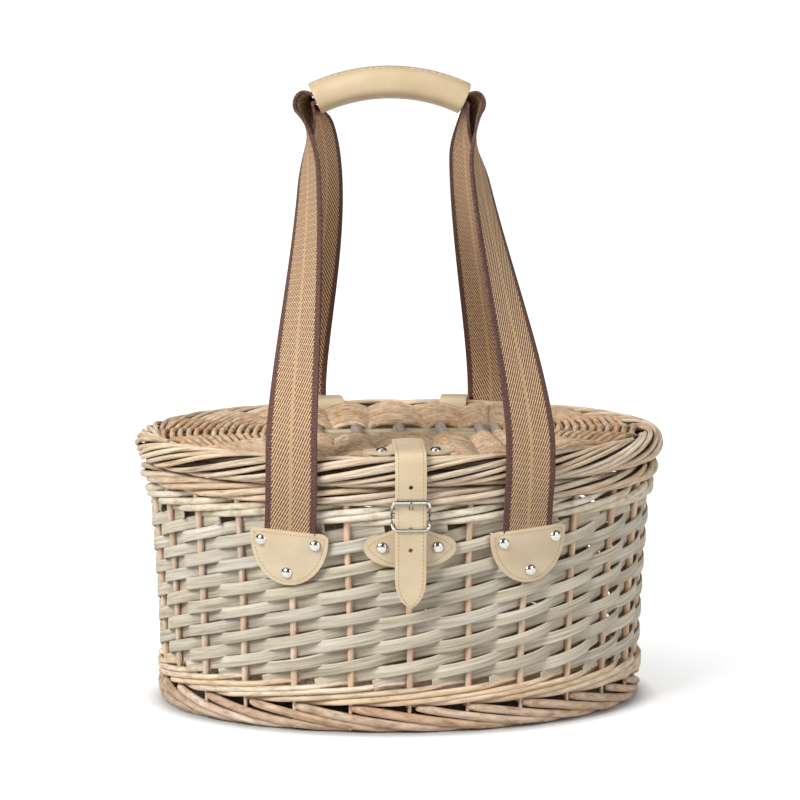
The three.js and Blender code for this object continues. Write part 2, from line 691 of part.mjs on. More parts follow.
// Winged tab on the lid, just inside its border
const lidTabZ = lidWeaveTop + SEAT;
const lidTabY = -(LID_DEPTH / 2 - LID_BORDER_BAND - WING_HEIGHT / 2 - 2 * LOOSE_FIT);
const lidTabSections = [];
for (let i = 0; i <= 12; i++) {
  const f = -cos((i / 12) * PI);
  const x = (f * WING_WIDTH) / 2;
  const corner = (y, z) => new THREE.Vector3(x, lidTabY + y, z);
  const w = wing(f) * 0.9;
  const [z0, z1] = [lidTabZ, lidTabZ + LEATHER];
  lidTabSections.push([corner(-w, z0), corner(w, z0), corner(w, z1), corner(-w, z1)]);
}
let lidTab = body(loft(lidTabSections));
for (const x of [-WING_RIVET_SPREAD / 2, WING_RIVET_SPREAD / 2]) {
  const at = new THREE.Vector3(x, lidTabY, lidTabZ + LEATHER);
  lidTab = lidTab.add(body(rivetHead(at, new THREE.Vector3(0, 0, 1))));
}
lid.add(piece('lid_tab', shape(lidTab), FINISH.leather));

// Buckle bars: the strap runs behind the upper and lower bars and over the centre one
const barR = BUCKLE_BAR_DIAMETER / 2;
const frontOf = (half, d) => -(half - OVAL_DIFFERENCE + d);
const waleFront = frontOf(wallHalf(Z_UPPER_WALE + UPPER_WALE_HEIGHT / 2), WALE_OVERHANG);
const barY = waleFront - SEAT - CHAPE_LEATHER - SEAT - barR;
const strapAtBar = barY - barR - 2 * SEAT - CHAPE_LEATHER - CLOSURE_LEATHER / 2;
const strapAtLid = -(LID_DEPTH / 2 + SEAT + CLOSURE_LEATHER / 2);
const strapY = (z) => THREE.MathUtils.mapLinear(z, barZ, Z_LID, strapAtBar, strapAtLid);
const upperBar = new THREE.Vector3(0, 0, barZ + BUCKLE_HEIGHT / 2);
upperBar.y = strapY(upperBar.z) - CLOSURE_LEATHER / 2 - 2 * SEAT - barR;
const lowerBar = new THREE.Vector3(0, 0, barZ - BUCKLE_HEIGHT / 2);
lowerBar.y = strapAtBar - CLOSURE_LEATHER / 2 - 2 * SEAT - barR;

// Buckle frame: a rounded loop bowed back to its centre bar
const loopSections = [];
for (let i = 0; i <= 32; i++) {
  const a = ((i % 32) / 32) * TAU;
  const soft = (v) => sign(v) * sqrt(abs(v));
  const rise = soft(sin(a));
  const bow = (rise > 0 ? upperBar.y : lowerBar.y) - barY;
  const x = (BUCKLE_WIDTH / 2) * soft(cos(a));
  const y = barY + bow * THREE.MathUtils.smoothstep(abs(rise), 0, 0.75);
  const at = new THREE.Vector3(x, y, barZ + (BUCKLE_HEIGHT / 2) * rise);
  const across = new THREE.Vector3(x, 0, at.z - barZ).normalize();
  const ring = [];
  for (let k = 0; k < 6; k++) {
    const turn = (k / 6) * TAU;
    const spot = at.clone().addScaledVector(across, barR * cos(turn));
    ring.push(spot.setY(spot.y + barR * sin(turn)));
  }
  loopSections.push(ring);
}
const centre = new THREE.Vector3(BUCKLE_WIDTH / 2, barY, barZ);
const centreBar = bar(centre.clone().setX(-centre.x), centre, BUCKLE_BAR_DIAMETER, 8);
const frame = body(loft(loopSections, false)).add(body(centreBar));
buckle.add(piece('buckle_frame', shape(frame), FINISH.nickel));

// Buckle prong: an eye on the centre bar and a pin that lies on the upper bar
const eyeR = barR + SEAT;
const eyeOuter = eyeR + PRONG_DIAMETER * 0.8;
const eyeProfile = [
  new THREE.Vector2(eyeR, -PRONG_WIDTH / 2),
  new THREE.Vector2(eyeOuter, -PRONG_WIDTH / 2),
  new THREE.Vector2(eyeOuter, PRONG_WIDTH / 2),
  new THREE.Vector2(eyeR, PRONG_WIDTH / 2),
  new THREE.Vector2(eyeR, -PRONG_WIDTH / 2),
];
const eye = new THREE.LatheGeometry(eyeProfile, 10);
eye.rotateZ(PI / 2).translate(0, barY, barZ);
const toUpper = new THREE.Vector2(barY - upperBar.y, upperBar.z - barZ);
const pinLift = asin((barR + PRONG_DIAMETER / 2 + SEAT) / toUpper.length());
const pinAngle = atan2(toUpper.x, toUpper.y) + pinLift;
const pinAt = (reach) => new THREE.Vector3(0, barY - reach * sin(pinAngle), barZ + reach * cos(pinAngle));
const pin = bar(pinAt(eyeR + SEAT), pinAt(toUpper.length() + barR), PRONG_DIAMETER, 6);
buckle.add(piece('buckle_prong', shape(body(eye).add(body(pin))), FINISH.nickel));

// Closure strap: from the lid tab over the border, down through the buckle to a pointed end
const strapLow = lidTabZ + LEATHER + SEAT + CLOSURE_LEATHER / 2;
const strapHigh = Z_TOP + SEAT + CLOSURE_LEATHER / 2;
const borderBack = -(LID_DEPTH / 2 - LID_BORDER_BAND);
const tipZ = Z_LID - CLOSURE_TAIL;
const closurePath = [
  [lidTabY + WING_HEIGHT / 3, strapLow],
  [borderBack + 4 * LOOSE_FIT, strapLow],
  [borderBack + 2 * LOOSE_FIT, strapHigh],
  [strapAtLid + 4 * LOOSE_FIT, strapHigh],
  [strapAtLid + LOOSE_FIT, strapHigh - SEAT],
  [strapAtLid, strapHigh - 3 * LOOSE_FIT],
  [strapAtLid, Z_LID],
  [strapY(upperBar.z), upperBar.z],
  [strapAtBar, barZ],
  [strapAtBar, lowerBar.z],
  [strapAtBar + LOOSE_FIT, wingZ],
  [strapAtBar + LOOSE_FIT, tipZ + CLOSURE_POINT],
  [strapAtBar + LOOSE_FIT, tipZ + CLOSURE_POINT / 3],
  [strapAtBar + LOOSE_FIT, tipZ],
];
const closureFrames = closurePath.map(([y, z], i) => {
  const [y0, z0] = closurePath[max(0, i - 1)];
  const [y1, z1] = closurePath[Math.min(closurePath.length - 1, i + 1)];
  const run = new THREE.Vector3(0, y1 - y0, z1 - z0).normalize();
  const side = new THREE.Vector3(1, 0, 0);
  const taper = z < tipZ + 1 ? 0.25 : z < tipZ + CLOSURE_POINT / 2 ? 0.75 : 1;
  return { at: new THREE.Vector3(0, y, z), side, face: run.clone().cross(side), taper };
});
let closure = body(band(closureFrames, CLOSURE_WIDTH, CLOSURE_LEATHER));
const pinReach = (barY - strapY(barZ + 5)) / sin(pinAngle);
const pinHoleZ = pinAt(pinReach).z;
for (const step of [-2, -1, 0, 1]) {
  const through = new THREE.Vector3(0, strapAtBar - 5, pinHoleZ + step * CLOSURE_HOLE_PITCH);
  const wide = step ? CLOSURE_HOLE_DIAMETER : PRONG_DIAMETER + CLOSURE_HOLE_DIAMETER;
  closure = closure.subtract(body(bar(through, through.clone().setY(strapAtBar + 5), wide, 8)));
}
lid.add(piece('closure_strap', shape(closure), FINISH.leather));

// Chape: leather from the lower winged tab up round the centre bar, slotted for the prong
const chapeR = barR + SEAT + CHAPE_LEATHER / 2;
const wingFront = frontOf(wallHalf(wingZ + WING_HEIGHT / 2), CREST + SEAT + LEATHER);
const chapeBack = Math.min(barY + chapeR, wingFront - SEAT - CHAPE_LEATHER / 2);
const chapePath = [[chapeBack, wingZ], [chapeBack, barZ - BUCKLE_HEIGHT / 2]];
for (let i = 0; i <= 6; i++) {
  const a = (i / 6) * PI;
  chapePath.push([barY + chapeR * cos(a), barZ + chapeR * sin(a)]);
}
chapePath.push([barY - chapeR, barZ - 3 * BUCKLE_BAR_DIAMETER]);
const chapeFrames = chapePath.map(([y, z], i) => {
  const [y0, z0] = chapePath[max(0, i - 1)];
  const [y1, z1] = chapePath[Math.min(chapePath.length - 1, i + 1)];
  const run = new THREE.Vector3(0, y1 - y0, z1 - z0).normalize();
  const side = new THREE.Vector3(1, 0, 0);
  return { at: new THREE.Vector3(0, y, z), side, face: run.clone().cross(side) };
});
const slot = new THREE.BoxGeometry(PRONG_WIDTH + 4 * SEAT, 6 * chapeR, 3 * eyeOuter);
slot.translate(0, barY, barZ + eyeOuter / 4);
const chape = body(band(chapeFrames, CHAPE_WIDTH, CHAPE_LEATHER)).subtract(body(slot));
basket.add(piece('buckle_chape', shape(chape), FINISH.leather));

const picnicBasket = new THREE.Group();
picnicBasket.name = 'picnic_basket';
picnicBasket.add(basket, lid, carrier, buckle);

export default picnicBasket;
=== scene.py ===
"""Looks of an oval woven picnic basket, built round its CAD frame.

Willow strips, rods and borders, leather tabs and straps, webbing and nickel are made here in the frame's
own axes: Z up, the buckle at the front towards -Y, the foot on Z = 0. Points are in metres; sizes, heights
and distances are in millimetres.
"""

import logging
import math
import random
from dataclasses import dataclass, field
from enum import Enum
from typing import Callable, Sequence

import bmesh
import bpy
from mathutils import Matrix, Vector


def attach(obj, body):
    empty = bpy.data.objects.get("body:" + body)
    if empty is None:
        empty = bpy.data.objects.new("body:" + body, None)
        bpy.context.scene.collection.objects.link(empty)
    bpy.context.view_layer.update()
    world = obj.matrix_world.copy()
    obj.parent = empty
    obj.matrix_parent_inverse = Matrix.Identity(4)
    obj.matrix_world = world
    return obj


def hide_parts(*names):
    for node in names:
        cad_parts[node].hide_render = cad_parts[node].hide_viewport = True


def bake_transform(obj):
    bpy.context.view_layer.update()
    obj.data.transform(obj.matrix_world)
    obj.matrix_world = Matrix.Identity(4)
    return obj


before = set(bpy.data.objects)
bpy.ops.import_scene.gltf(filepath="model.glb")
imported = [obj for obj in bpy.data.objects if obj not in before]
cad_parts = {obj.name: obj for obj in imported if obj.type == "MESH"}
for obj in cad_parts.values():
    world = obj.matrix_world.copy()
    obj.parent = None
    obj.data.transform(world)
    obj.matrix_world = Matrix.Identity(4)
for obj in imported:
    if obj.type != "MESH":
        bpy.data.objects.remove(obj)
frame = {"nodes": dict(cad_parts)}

LOG = logging.getLogger("picnic_basket")
MM = 0.001
TAU = math.tau
FRONT = -math.pi / 2
BOTH = (-1, 1)
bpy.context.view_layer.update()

# Leather cut for tabs: its thickness, the rounding of its rim, how far its rivets stand from the middle,
# and the height of rivets and thread over the middle of the leather
LEATHER_THICKNESS = 2.0
LEATHER_RIM = 0.6
RIVET_SPREAD = 19.5
RIVET_LIFT = 1.0
THREAD_LIFT = 1.02

Thing = bpy.types.Object
Tree = bpy.types.NodeTree
Node = bpy.types.Node
Pair = tuple[float, float]
Place = Callable[[float, float], Vector]
Facing = tuple[Vector, Vector]


# Small helpers


def linear(colour: str) -> tuple[float, float, float, float]:
    """Turn an sRGB hex colour into linear RGBA.

    Args:
        colour: six hex digits with a leading hash.

    Returns:
        Linear red, green, blue and an alpha of one.
    """
    channels = [int(colour[i : i + 2], 16) / 255 for i in (1, 3, 5)]
    straight = [c / 12.92 if c <= 0.04045 else ((c + 0.055) / 1.055) ** 2.4 for c in channels]
    return (*straight, 1.0)


def put(tree: Tree, kind: str, inputs: dict | None = None, stops: Sequence[tuple[float, str]] = (),
        **settings) -> Node:
    """Add a shader node with its settings and links.

    Args:
        tree: node tree that takes the node.
        kind: Blender's name of the node type, without its prefix.
        inputs: socket name or index, with a constant, a node or one of a node's outputs.
        stops: position and hex colour of each stop of a colour ramp, in order.
        settings: plain properties of the node.

    Returns:
        The new node.
    """
    node = tree.nodes.new("ShaderNode" + kind)
    for name, value in settings.items():
        setattr(node, name, value)
    for socket, value in (inputs or {}).items():
        source = value.outputs[0] if isinstance(value, Node) else value
        if isinstance(source, bpy.types.NodeSocket):
            tree.links.new(source, node.inputs[socket])
        else:
            node.inputs[socket].default_value = source
    if stops:
        elements = node.color_ramp.elements
        while len(elements) < len(stops):
            elements.new(0.5)
        for element, (position, colour) in zip(elements, stops):
            element.position = position
            element.color = linear(colour)
    return node


def maths(tree: Tree, operation: str, *values: float | Node | bpy.types.NodeSocket) -> Node:
    """Add a node that works out one operation on its values."""
    return put(tree, "Math", dict(enumerate(values)), operation=operation)


def ramp(tree: Tree, value: Node, *stops: tuple[float, str]) -> Node:
    """Add a colour ramp over a value."""
    return put(tree, "ValToRGB", {0: value}, stops)


def mixed(tree: Tree, share: Node, first: Node, second: Node, mode: str = "MIX") -> bpy.types.NodeSocket:
    """Mix two colours by a share."""
    return put(tree, "Mix", {0: share, 6: first, 7: second}, data_type="RGBA", blend_type=mode).outputs[2]


def speckle(tree: Tree, size: float, detail: float, roughness: float = 0.5) -> Node:
    """Add noise of a size in millimetres on the object's own coordinates."""
    return put(tree, "TexNoise", {"Vector": put(tree, "TexCoord").outputs["Object"], "Scale": 1 / (size * MM),
                                  "Detail": detail, "Roughness": roughness})


def seen(tree: Tree) -> Node:
    """Add a value of one for the camera's rays and those that a mirror sends on."""
    ray = put(tree, "LightPath").outputs
    return maths(tree, "MAXIMUM", ray["Is Camera Ray"], ray["Is Glossy Ray"])


def smooth(value: float, low: float = 0.0, high: float = 1.0) -> float:
    """Ease a value from 0 at low to 1 at high."""
    x = min(1.0, max(0.0, (value - low) / (high - low)))
    return x * x * (3 - 2 * x)


def mix(a: float, b: float, share: float) -> float:
    """Value at a share of the way from a to b."""
    return a + (b - a) * share


def signed_power(value: float, power: float) -> float:
    """Power of a value's size, with the value's sign kept."""
    return math.copysign(abs(value) ** power, value)


def through(knots: Sequence[Vector], steps: int) -> list[Vector]:
    """Points of a smooth curve through the knots.

    Args:
        knots: places that the curve passes.
        steps: points from each knot to the next.

    Returns:
        Points from the first knot to the last.
    """
    points = []
    for i in range(len(knots) - 1):
        a, b = knots[max(0, i - 1)], knots[i]
        c, d = knots[i + 1], knots[min(len(knots) - 1, i + 2)]
        for k in range(steps):
            x = k / steps
            points.append(0.5 * ((2 * b) + (c - a) * x + (2 * a - 5 * b + 4 * c - d) * x**2
                                 + (3 * b - a - 3 * c + d) * x**3))
    return [*points, knots[-1].copy()]


# Finishes


@dataclass(frozen=True)
class Coating:
    """A finish of one principled shader, whose inputs each kind of finish works out."""

    name: str

    def inputs(self, tree: Tree) -> dict:
        """Nodes and constants for the shader's inputs."""
        raise NotImplementedError

    def material(self) -> bpy.types.Material:
        """Make the material.

        Returns:
            The material with its nodes.
        """
        material = bpy.data.materials.new(self.name)
        material.use_nodes = True
        tree = material.node_tree
        tree.nodes.clear()
        put(tree, "OutputMaterial", {"Surface": put(tree, "BsdfPrincipled", self.inputs(tree))})
        return material


@dataclass(frozen=True)
class Willow(Coating):
    """Willow rod or split strip: fine fibres along its length, weathered patches, each piece off in tint."""

    dark: str
    base: str
    light: str
    tint: str
    wash: str
    length: float
    girth: float = 2.6
    fibre: float = 1.1
    patch: float = 38.0
    contrast: float = 0.2
    washed: float = 0.5
    scarred: float = 0.55
    tinted: float = 0.8
    roughness: float = 0.62

    def inputs(self, tree: Tree) -> dict:
        """Draw the fibres on the piece's own UV map, round the rod and along it.

        Args:
            tree: node tree of the material.

        Returns:
            Inputs of the shader.
        """
        uv = put(tree, "SeparateXYZ", {0: put(tree, "UVMap", uv_map="UVMap")}).outputs
        island = put(tree, "NewGeometry").outputs["Random Per Island"]
        turn = maths(tree, "MULTIPLY", uv[0], TAU)
        x, y = (maths(tree, "MULTIPLY", maths(tree, way, turn), self.girth) for way in ("COSINE", "SINE"))
        place = put(tree, "CombineXYZ", {0: x, 1: y, 2: maths(tree, "MULTIPLY", uv[1], self.length)})
        shift = maths(tree, "MULTIPLY", island, 97.0)

        def grain(scale: tuple[float, float, float], detail: float, roughness: float = 0.5) -> Node:
            """Noise stretched along the piece, and other for every piece."""
            at = put(tree, "VectorMath", {0: place, 1: scale}, operation="MULTIPLY")
            return put(tree, "TexNoise", {"Vector": at, "W": shift, "Scale": 1.0, "Detail": detail,
                                          "Roughness": roughness}, noise_dimensions="4D")

        fibre = grain((1 / self.fibre, 1 / self.fibre, 0.04 / self.fibre), 4.0, 0.6)
        patch = grain((0.12, 0.12, 1 / self.patch), 3.0)
        bud = grain((0.5, 0.5, 0.3), 1.0)
        streak = ramp(tree, fibre, (0.5 - self.contrast, self.dark), (0.5, self.base),
                      (0.5 + self.contrast, self.light))
        worn = put(tree, "MapRange", {0: patch, 1: 0.5, 2: 0.72, 3: 0.0, 4: self.washed})
        scar = put(tree, "MapRange", {0: bud, 1: 0.70, 2: 0.78, 3: 0.0, 4: self.scarred})
        marked = mixed(tree, scar, mixed(tree, worn, streak, linear(self.wash)), linear(self.dark))
        draw = maths(tree, "FRACT", maths(tree, "MULTIPLY", island, 7.3))
        warm = mixed(tree, maths(tree, "MULTIPLY", draw, self.tinted), marked, linear(self.tint), "MULTIPLY")
        shade = maths(tree, "MULTIPLY", maths(tree, "MULTIPLY_ADD", patch, 0.34, 0.82),
                      maths(tree, "MULTIPLY_ADD", island, 0.2, 0.9))
        return {"Base Color": put(tree, "VectorMath", {0: warm, "Scale": shade}, operation="SCALE"),
                "Normal": put(tree, "Bump", {"Height": fibre, "Strength": 0.3, "Distance": 0.0005}),
                "Roughness": maths(tree, "MULTIPLY_ADD", patch, 0.2, self.roughness - 0.1),
                "Specular IOR Level": 0.3}


@dataclass(frozen=True)
class Leather(Coating):
    """Pale smooth leather with a fine pebble and faint clouds of tone."""

    dark: str
    base: str
    light: str
    pebble: float = 0.8
    cloud: float = 24.0

    def inputs(self, tree: Tree) -> dict:
        """Build clouds and pebble from the object's coordinates.

        Args:
            tree: node tree of the material.

        Returns:
            Inputs of the shader.
        """
        cloud = speckle(tree, self.cloud, 3.0, 0.55)
        pebble = put(tree, "TexVoronoi", {"Vector": put(tree, "TexCoord").outputs["Object"],
                                          "Scale": 1 / (self.pebble * MM)}, feature="SMOOTH_F1")
        return {"Base Color": ramp(tree, cloud, (0.3, self.dark), (0.5, self.base), (0.72, self.light)),
                "Normal": put(tree, "Bump", {"Height": pebble, "Strength": 0.1, "Distance": 0.0002}),
                "Roughness": 0.46, "Specular IOR Level": 0.4}


@dataclass(frozen=True)
class Webbing(Coating):
    """Tan twill tape: slanted strokes of yarn, a plain rib down the middle and brown bound edges."""

    yarn: str
    shade: str
    # Dark colour of the hollows between the yarn strokes: painted shade
    gap: str
    rib: str
    edge: str
    edge_dark: str
    edge_light: str
    twill: float = 2.0
    stroke: float = 4.3
    slant: float = -0.46
    rib_half: float = 1.2
    edge_start: float = 14.6
    tooth: float = 2.4
    thread: float = 1.3

    def inputs(self, tree: Tree) -> dict:
        """Draw the twill on a UV map that counts millimetres across and along the tape.

        Args:
            tree: node tree of the material.

        Returns:
            Inputs of the shader.
        """
        uv = put(tree, "UVMap", uv_map="UVMap")
        across, along, _ = put(tree, "SeparateXYZ", {0: uv}).outputs

        def ripple(value: Node | bpy.types.NodeSocket, turn: float) -> Node:
            """Sine of a value times a turn."""
            return maths(tree, "SINE", maths(tree, "MULTIPLY", value, turn))

        column = maths(tree, "DIVIDE", maths(tree, "MULTIPLY_ADD", along, self.slant, across), self.twill)
        ridge = maths(tree, "POWER", ripple(maths(tree, "FRACT", column), math.pi), 2.4)
        climb = maths(tree, "DIVIDE", along, self.stroke)
        step = maths(tree, "FRACT", maths(tree, "MULTIPLY_ADD", maths(tree, "FLOOR", column), 0.1, climb))
        band = maths(tree, "MULTIPLY_ADD", ripple(step, math.pi), -2.4, 0.82)
        fuzz = put(tree, "TexNoise", {"Vector": uv, "Scale": 1 / self.thread, "Detail": 3.0})
        height = maths(tree, "ADD", maths(tree, "MAXIMUM", ridge, band),
                       maths(tree, "MULTIPLY_ADD", fuzz, 0.44, -0.22))
        # The ramp darkens the low parts of the weave's relief: the gap colour there is painted shade
        twill = ramp(tree, height, (0.24, self.gap), (0.62, self.shade), (0.94, self.yarn))
        ribs, picks = (ripple(way, TAU / self.thread) for way in (across, along))
        plain = maths(tree, "MULTIPLY_ADD", maths(tree, "ADD", ribs, picks), 0.22, 0.5)
        rib = ramp(tree, plain, (0.25, self.shade), (0.7, self.rib))
        off_middle = maths(tree, "ABSOLUTE", across)
        face = mixed(tree, maths(tree, "LESS_THAN", off_middle, self.rib_half), twill, rib)
        limit = maths(tree, "MULTIPLY_ADD", ripple(along, TAU / self.tooth), 0.5, self.edge_start)
        in_edge = maths(tree, "GREATER_THAN", off_middle, limit)
        bound = maths(tree, "MULTIPLY_ADD", picks, 0.13, fuzz)
        edge = ramp(tree, bound, (0.3, self.edge_dark), (0.52, self.edge), (0.75, self.edge_light))
        relief = put(tree, "Mix", {0: in_edge, 2: height, 3: bound}, data_type="FLOAT")
        return {"Base Color": mixed(tree, in_edge, face, edge),
                "Normal": put(tree, "Bump", {"Height": relief, "Strength": 0.5, "Distance": 0.0006}),
                "Roughness": 0.85, "Specular IOR Level": 0.2}


@dataclass(frozen=True)
class Nickel(Coating):
    """Bright nickel plating that mirrors the studio, with faint wear."""

    colour: str
    light: str
    roughness: float
    wear: float = 2.4

    def inputs(self, tree: Tree) -> dict:
        """Build the plating with a little uneven polish.

        Args:
            tree: node tree of the material.

        Returns:
            Inputs of the shader.
        """
        wear = speckle(tree, self.wear, 3.0)
        return {"Base Color": ramp(tree, wear, (0.3, self.colour), (0.7, self.light)),
                "Roughness": maths(tree, "MULTIPLY_ADD", wear, 0.1, self.roughness - 0.05), "Metallic": 1.0}


@dataclass(frozen=True)
class Thread(Coating):
    """Waxed sewing thread with a fine twist."""

    colour: str
    light: str
    twist: float = 0.7

    def inputs(self, tree: Tree) -> dict:
        """Build the thread's twist from fine noise."""
        tone = ramp(tree, speckle(tree, self.twist, 2.0), (0.35, self.colour), (0.65, self.light))
        return {"Base Color": tone, "Roughness": 0.7}


class Finish(Enum):
    """Finishes of the basket, named for the material and how it is worked."""

    # Split willow left grey by weather: flat, dull, streaked, with whitish worn patches
    STRIP = Willow("split_willow_strip_weathered", "#a49a85", "#ccc3b2", "#e2dbcc", "#f5f0e4", "#e8e5dd", 520.0)
    # Whole peeled rods: round, smooth, pinkish buff
    STAKE = Willow("whole_willow_stake_peeled", "#cbab8f", "#e6caae", "#f2dfca", "#faece0", "#eadccd", 160.0)
    ROD = Willow("whole_willow_rod_buff", "#a58b6c", "#dfccb3", "#f3e7d6", "#f5e6d3", "#eee4d6", 240.0)
    # The same rods deep inside a border, given a dark colour that is painted shade
    CORE = Willow("whole_willow_rod_painted_shade", "#241b13", "#362a1f", "#493a2c", "#e6d8c6", "#7c6c5a", 240.0)
    # Foot rods, a little browner and more worn
    FOOT = Willow("whole_willow_rod_brown", "#957a60", "#ccb49b", "#e6d2bf", "#f4dfcd", "#e2d5c7", 150.0)
    # Peeled rods of the wales and the base, white to cream
    PALE = Willow("peeled_willow_rod_white", "#b9aa8e", "#e6dcc8", "#f4ecdc", "#f8eedd", "#f1ece2", 120.0)
    WALE = Willow("peeled_willow_rod_cream", "#b99f80", "#e3d0b6", "#f5e7d4", "#f6e6d2", "#efe5d5", 160.0)
    # Short pinkish rods of the lid's rows
    LID = Willow("whole_willow_rod_pink_buff", "#97795b", "#ccb192", "#e6d2b8", "#f4e0c9", "#e2d3bf", 80.0)
    # Sawn slats and thick grey dowels of the slath
    SLAT = Willow("sawn_willow_slat_weathered", "#93866c", "#beb196", "#d6cab0", "#f2ead8", "#d8d2c2", 160.0)
    DOWEL = Willow("whole_willow_dowel_weathered", "#8b8076", "#ada298", "#c8bfb4", "#efe6dc", "#cfcac2", 190.0)
    # Smooth pale leather, cut for tabs and straps or wrapped for the grip
    LEATHER = Leather("natural_leather_cut", "#d2bc9a", "#d8c4a4", "#decbae")
    GRIP = Leather("natural_leather_wrapped", "#c8b08a", "#d0b995", "#d8c2a0")
    # Sewing thread, tan on the tabs and straps, pale on the grip
    THREAD = Thread("waxed_thread_sewn", "#b3925f", "#cdb084")
    PALE_THREAD = Thread("waxed_thread_sewn_pale", "#d9c6a6", "#efe2c8")
    # Woven tape: rough, without shine; the dark gap colour between its yarn strokes is painted shade
    WEBBING = Webbing("twill_webbing_woven", "#ebcba8", "#bb9975", "#6f4e36", "#cfac86", "#664a42", "#4c342e",
                      "#7f6258")
    # Plated and polished: a mirror with a trace of warmth
    NICKEL = Nickel("nickel_plated_polished", "#c0bdb7", "#d4d1cc", 0.18)

    def material(self) -> bpy.types.Material:
        """Material of this finish, made once."""
        return bpy.data.materials.get(self.value.name) or self.value.material()


# Shapes


@dataclass
class Rod:
    """One rod: the points of its middle line and its radius at each."""

    points: list[Vector]
    radii: list[float]
    closed: bool = False


def even(points: list[Vector], radius: float, tip: float = 1.0, closed: bool = False) -> Rod:
    """Rod of one radius, or one that narrows to a share of it at its tip."""
    last = max(1, len(points) - 1)
    return Rod(points, [radius * mix(1.0, tip, i / last) for i in range(len(points))], closed)


def flat_section(width: float, height: float, side_power: float, edge_power: float) -> list[Pair]:
    """Flat section with softened edges.

    Args:
        width: size outwards.
        height: size upwards.
        side_power: how square its sides are; less is squarer.
        edge_power: how square its edges are.

    Returns:
        Points of out and up.
    """
    turns = [i / 12 * TAU for i in range(12)]
    return [(signed_power(math.cos(a), side_power) * width / 2, signed_power(math.sin(a), edge_power) * height / 2)
            for a in turns]


def linked(name: str, data: bpy.types.ID) -> Thing:
    """Put a new object into the scene.

    Args:
        name: name of the object.
        data: mesh, curve, light or camera that it holds.

    Returns:
        The object.
    """
    made = bpy.data.objects.new(name, data)
    bpy.context.scene.collection.objects.link(made)
    return made


def cleaned(bm: bmesh.types.BMesh) -> None:
    """Weld a mesh's points and turn its faces outwards."""
    bmesh.ops.remove_doubles(bm, verts=bm.verts, dist=1e-6)
    bmesh.ops.recalc_face_normals(bm, faces=bm.faces)


def stored(bm: bmesh.types.BMesh, mesh: bpy.types.Mesh) -> bpy.types.Mesh:
    """Keep worked faces in a mesh.

    Args:
        bm: worked faces, which are freed.
        mesh: mesh that takes them.

    Returns:
        The mesh.
    """
    bm.to_mesh(mesh)
    bm.free()
    return mesh


def meshed(source: Thing, name: str) -> Thing:
    """Turn a curve or a mesh with modifiers into a clean, smooth mesh object.

    Args:
        source: object to turn; it is removed.
        name: name of the new object.

    Returns:
        The mesh object, at the origin.
    """
    bpy.context.view_layer.update()
    mesh = bpy.data.meshes.new_from_object(source.evaluated_get(bpy.context.evaluated_depsgraph_get()))
    mesh.name = name
    mesh.materials.clear()
    bpy.data.objects.remove(source)
    bm = bmesh.new()
    bm.from_mesh(mesh)
    cleaned(bm)
    stored(bm, mesh).shade_smooth()
    mesh.set_sharp_from_angle(angle=math.radians(48))
    return linked(name, mesh)


def drawn(name: str, rods: Sequence[Rod], dimensions: str = "3D") -> bpy.types.Curve:
    """Draw rods as the lines of one curve.

    Args:
        name: name of the curve.
        rods: rods to draw.
        dimensions: whether the curve is flat or not.

    Returns:
        The curve.
    """
    curve = bpy.data.curves.new(name, "CURVE")
    curve.dimensions = dimensions
    for rod in rods:
        spline = curve.splines.new("POLY")
        spline.points.add(len(rod.points) - 1)
        spline.use_cyclic_u = rod.closed
        for point, at, radius in zip(spline.points, rod.points, rod.radii):
            point.co = (*at, 1)
            point.radius = radius
    return curve


def sweep(name: str, rods: Sequence[Rod], section: Sequence[Pair] = (), sides: int = 2) -> Thing:
    """Sweep a round or given section along every rod and return one mesh object.

    Args:
        name: name of the object.
        rods: rods to sweep.
        section: points of a flat section, out and up; empty for a round one.
        sides: how finely a round section is cut.

    Returns:
        The mesh object.
    """
    curve = drawn(name, rods)
    curve.twist_mode = "Z_UP"
    curve.use_fill_caps = True
    shape = None
    if section:
        ring = even([Vector((x, y, 0)) * MM for x, y in section], 1.0, closed=True)
        shape = linked(name + "_section", drawn(name + "_section", [ring], "2D"))
        curve.bevel_mode = "OBJECT"
        curve.bevel_object = shape
    else:
        curve.bevel_depth = MM
        curve.bevel_resolution = sides
    made = meshed(linked(name, curve), name)
    if shape:
        bpy.data.objects.remove(shape)
    return made


def sheet(name: str, columns: int, rows: int, place: Place, thickness: float, rim: float = 0.4,
          uv: Callable[[float, float], Pair] = lambda f, g: (f, g), taut: bool = True) -> Thing:
    """Lay a grid over a surface and give it thickness and a rounded rim.

    Args:
        name: name of the object.
        columns: faces across.
        rows: faces along.
        place: surface point for across (-1 to 1) and along (0 to 1).
        thickness: thickness, half to each side.
        rim: rounding of the rim.
        uv: UV place for across and along.
        taut: whether the thickness is kept even over folds.

    Returns:
        The mesh object.
    """
    bm = bmesh.new()
    bmesh.ops.create_grid(bm, x_segments=columns, y_segments=rows, size=1.0)
    layer = bm.loops.layers.uv.new("UVMap")
    for face in bm.faces:
        for loop in face.loops:
            loop[layer].uv = uv(loop.vert.co.x, (loop.vert.co.y + 1) / 2)
    for vert in bm.verts:
        vert.co = place(vert.co.x, (vert.co.y + 1) / 2)
    cleaned(bm)
    source = linked(name, stored(bm, bpy.data.meshes.new(name)))
    thick = source.modifiers.new("thickness", "SOLIDIFY")
    thick.thickness = thickness * MM
    thick.offset = 0.0
    thick.use_even_offset = taut
    edge = source.modifiers.new("rim", "BEVEL")
    edge.width = rim * MM
    edge.segments = 2
    edge.limit_method = "ANGLE"
    edge.angle_limit = math.radians(55)
    return meshed(source, name)


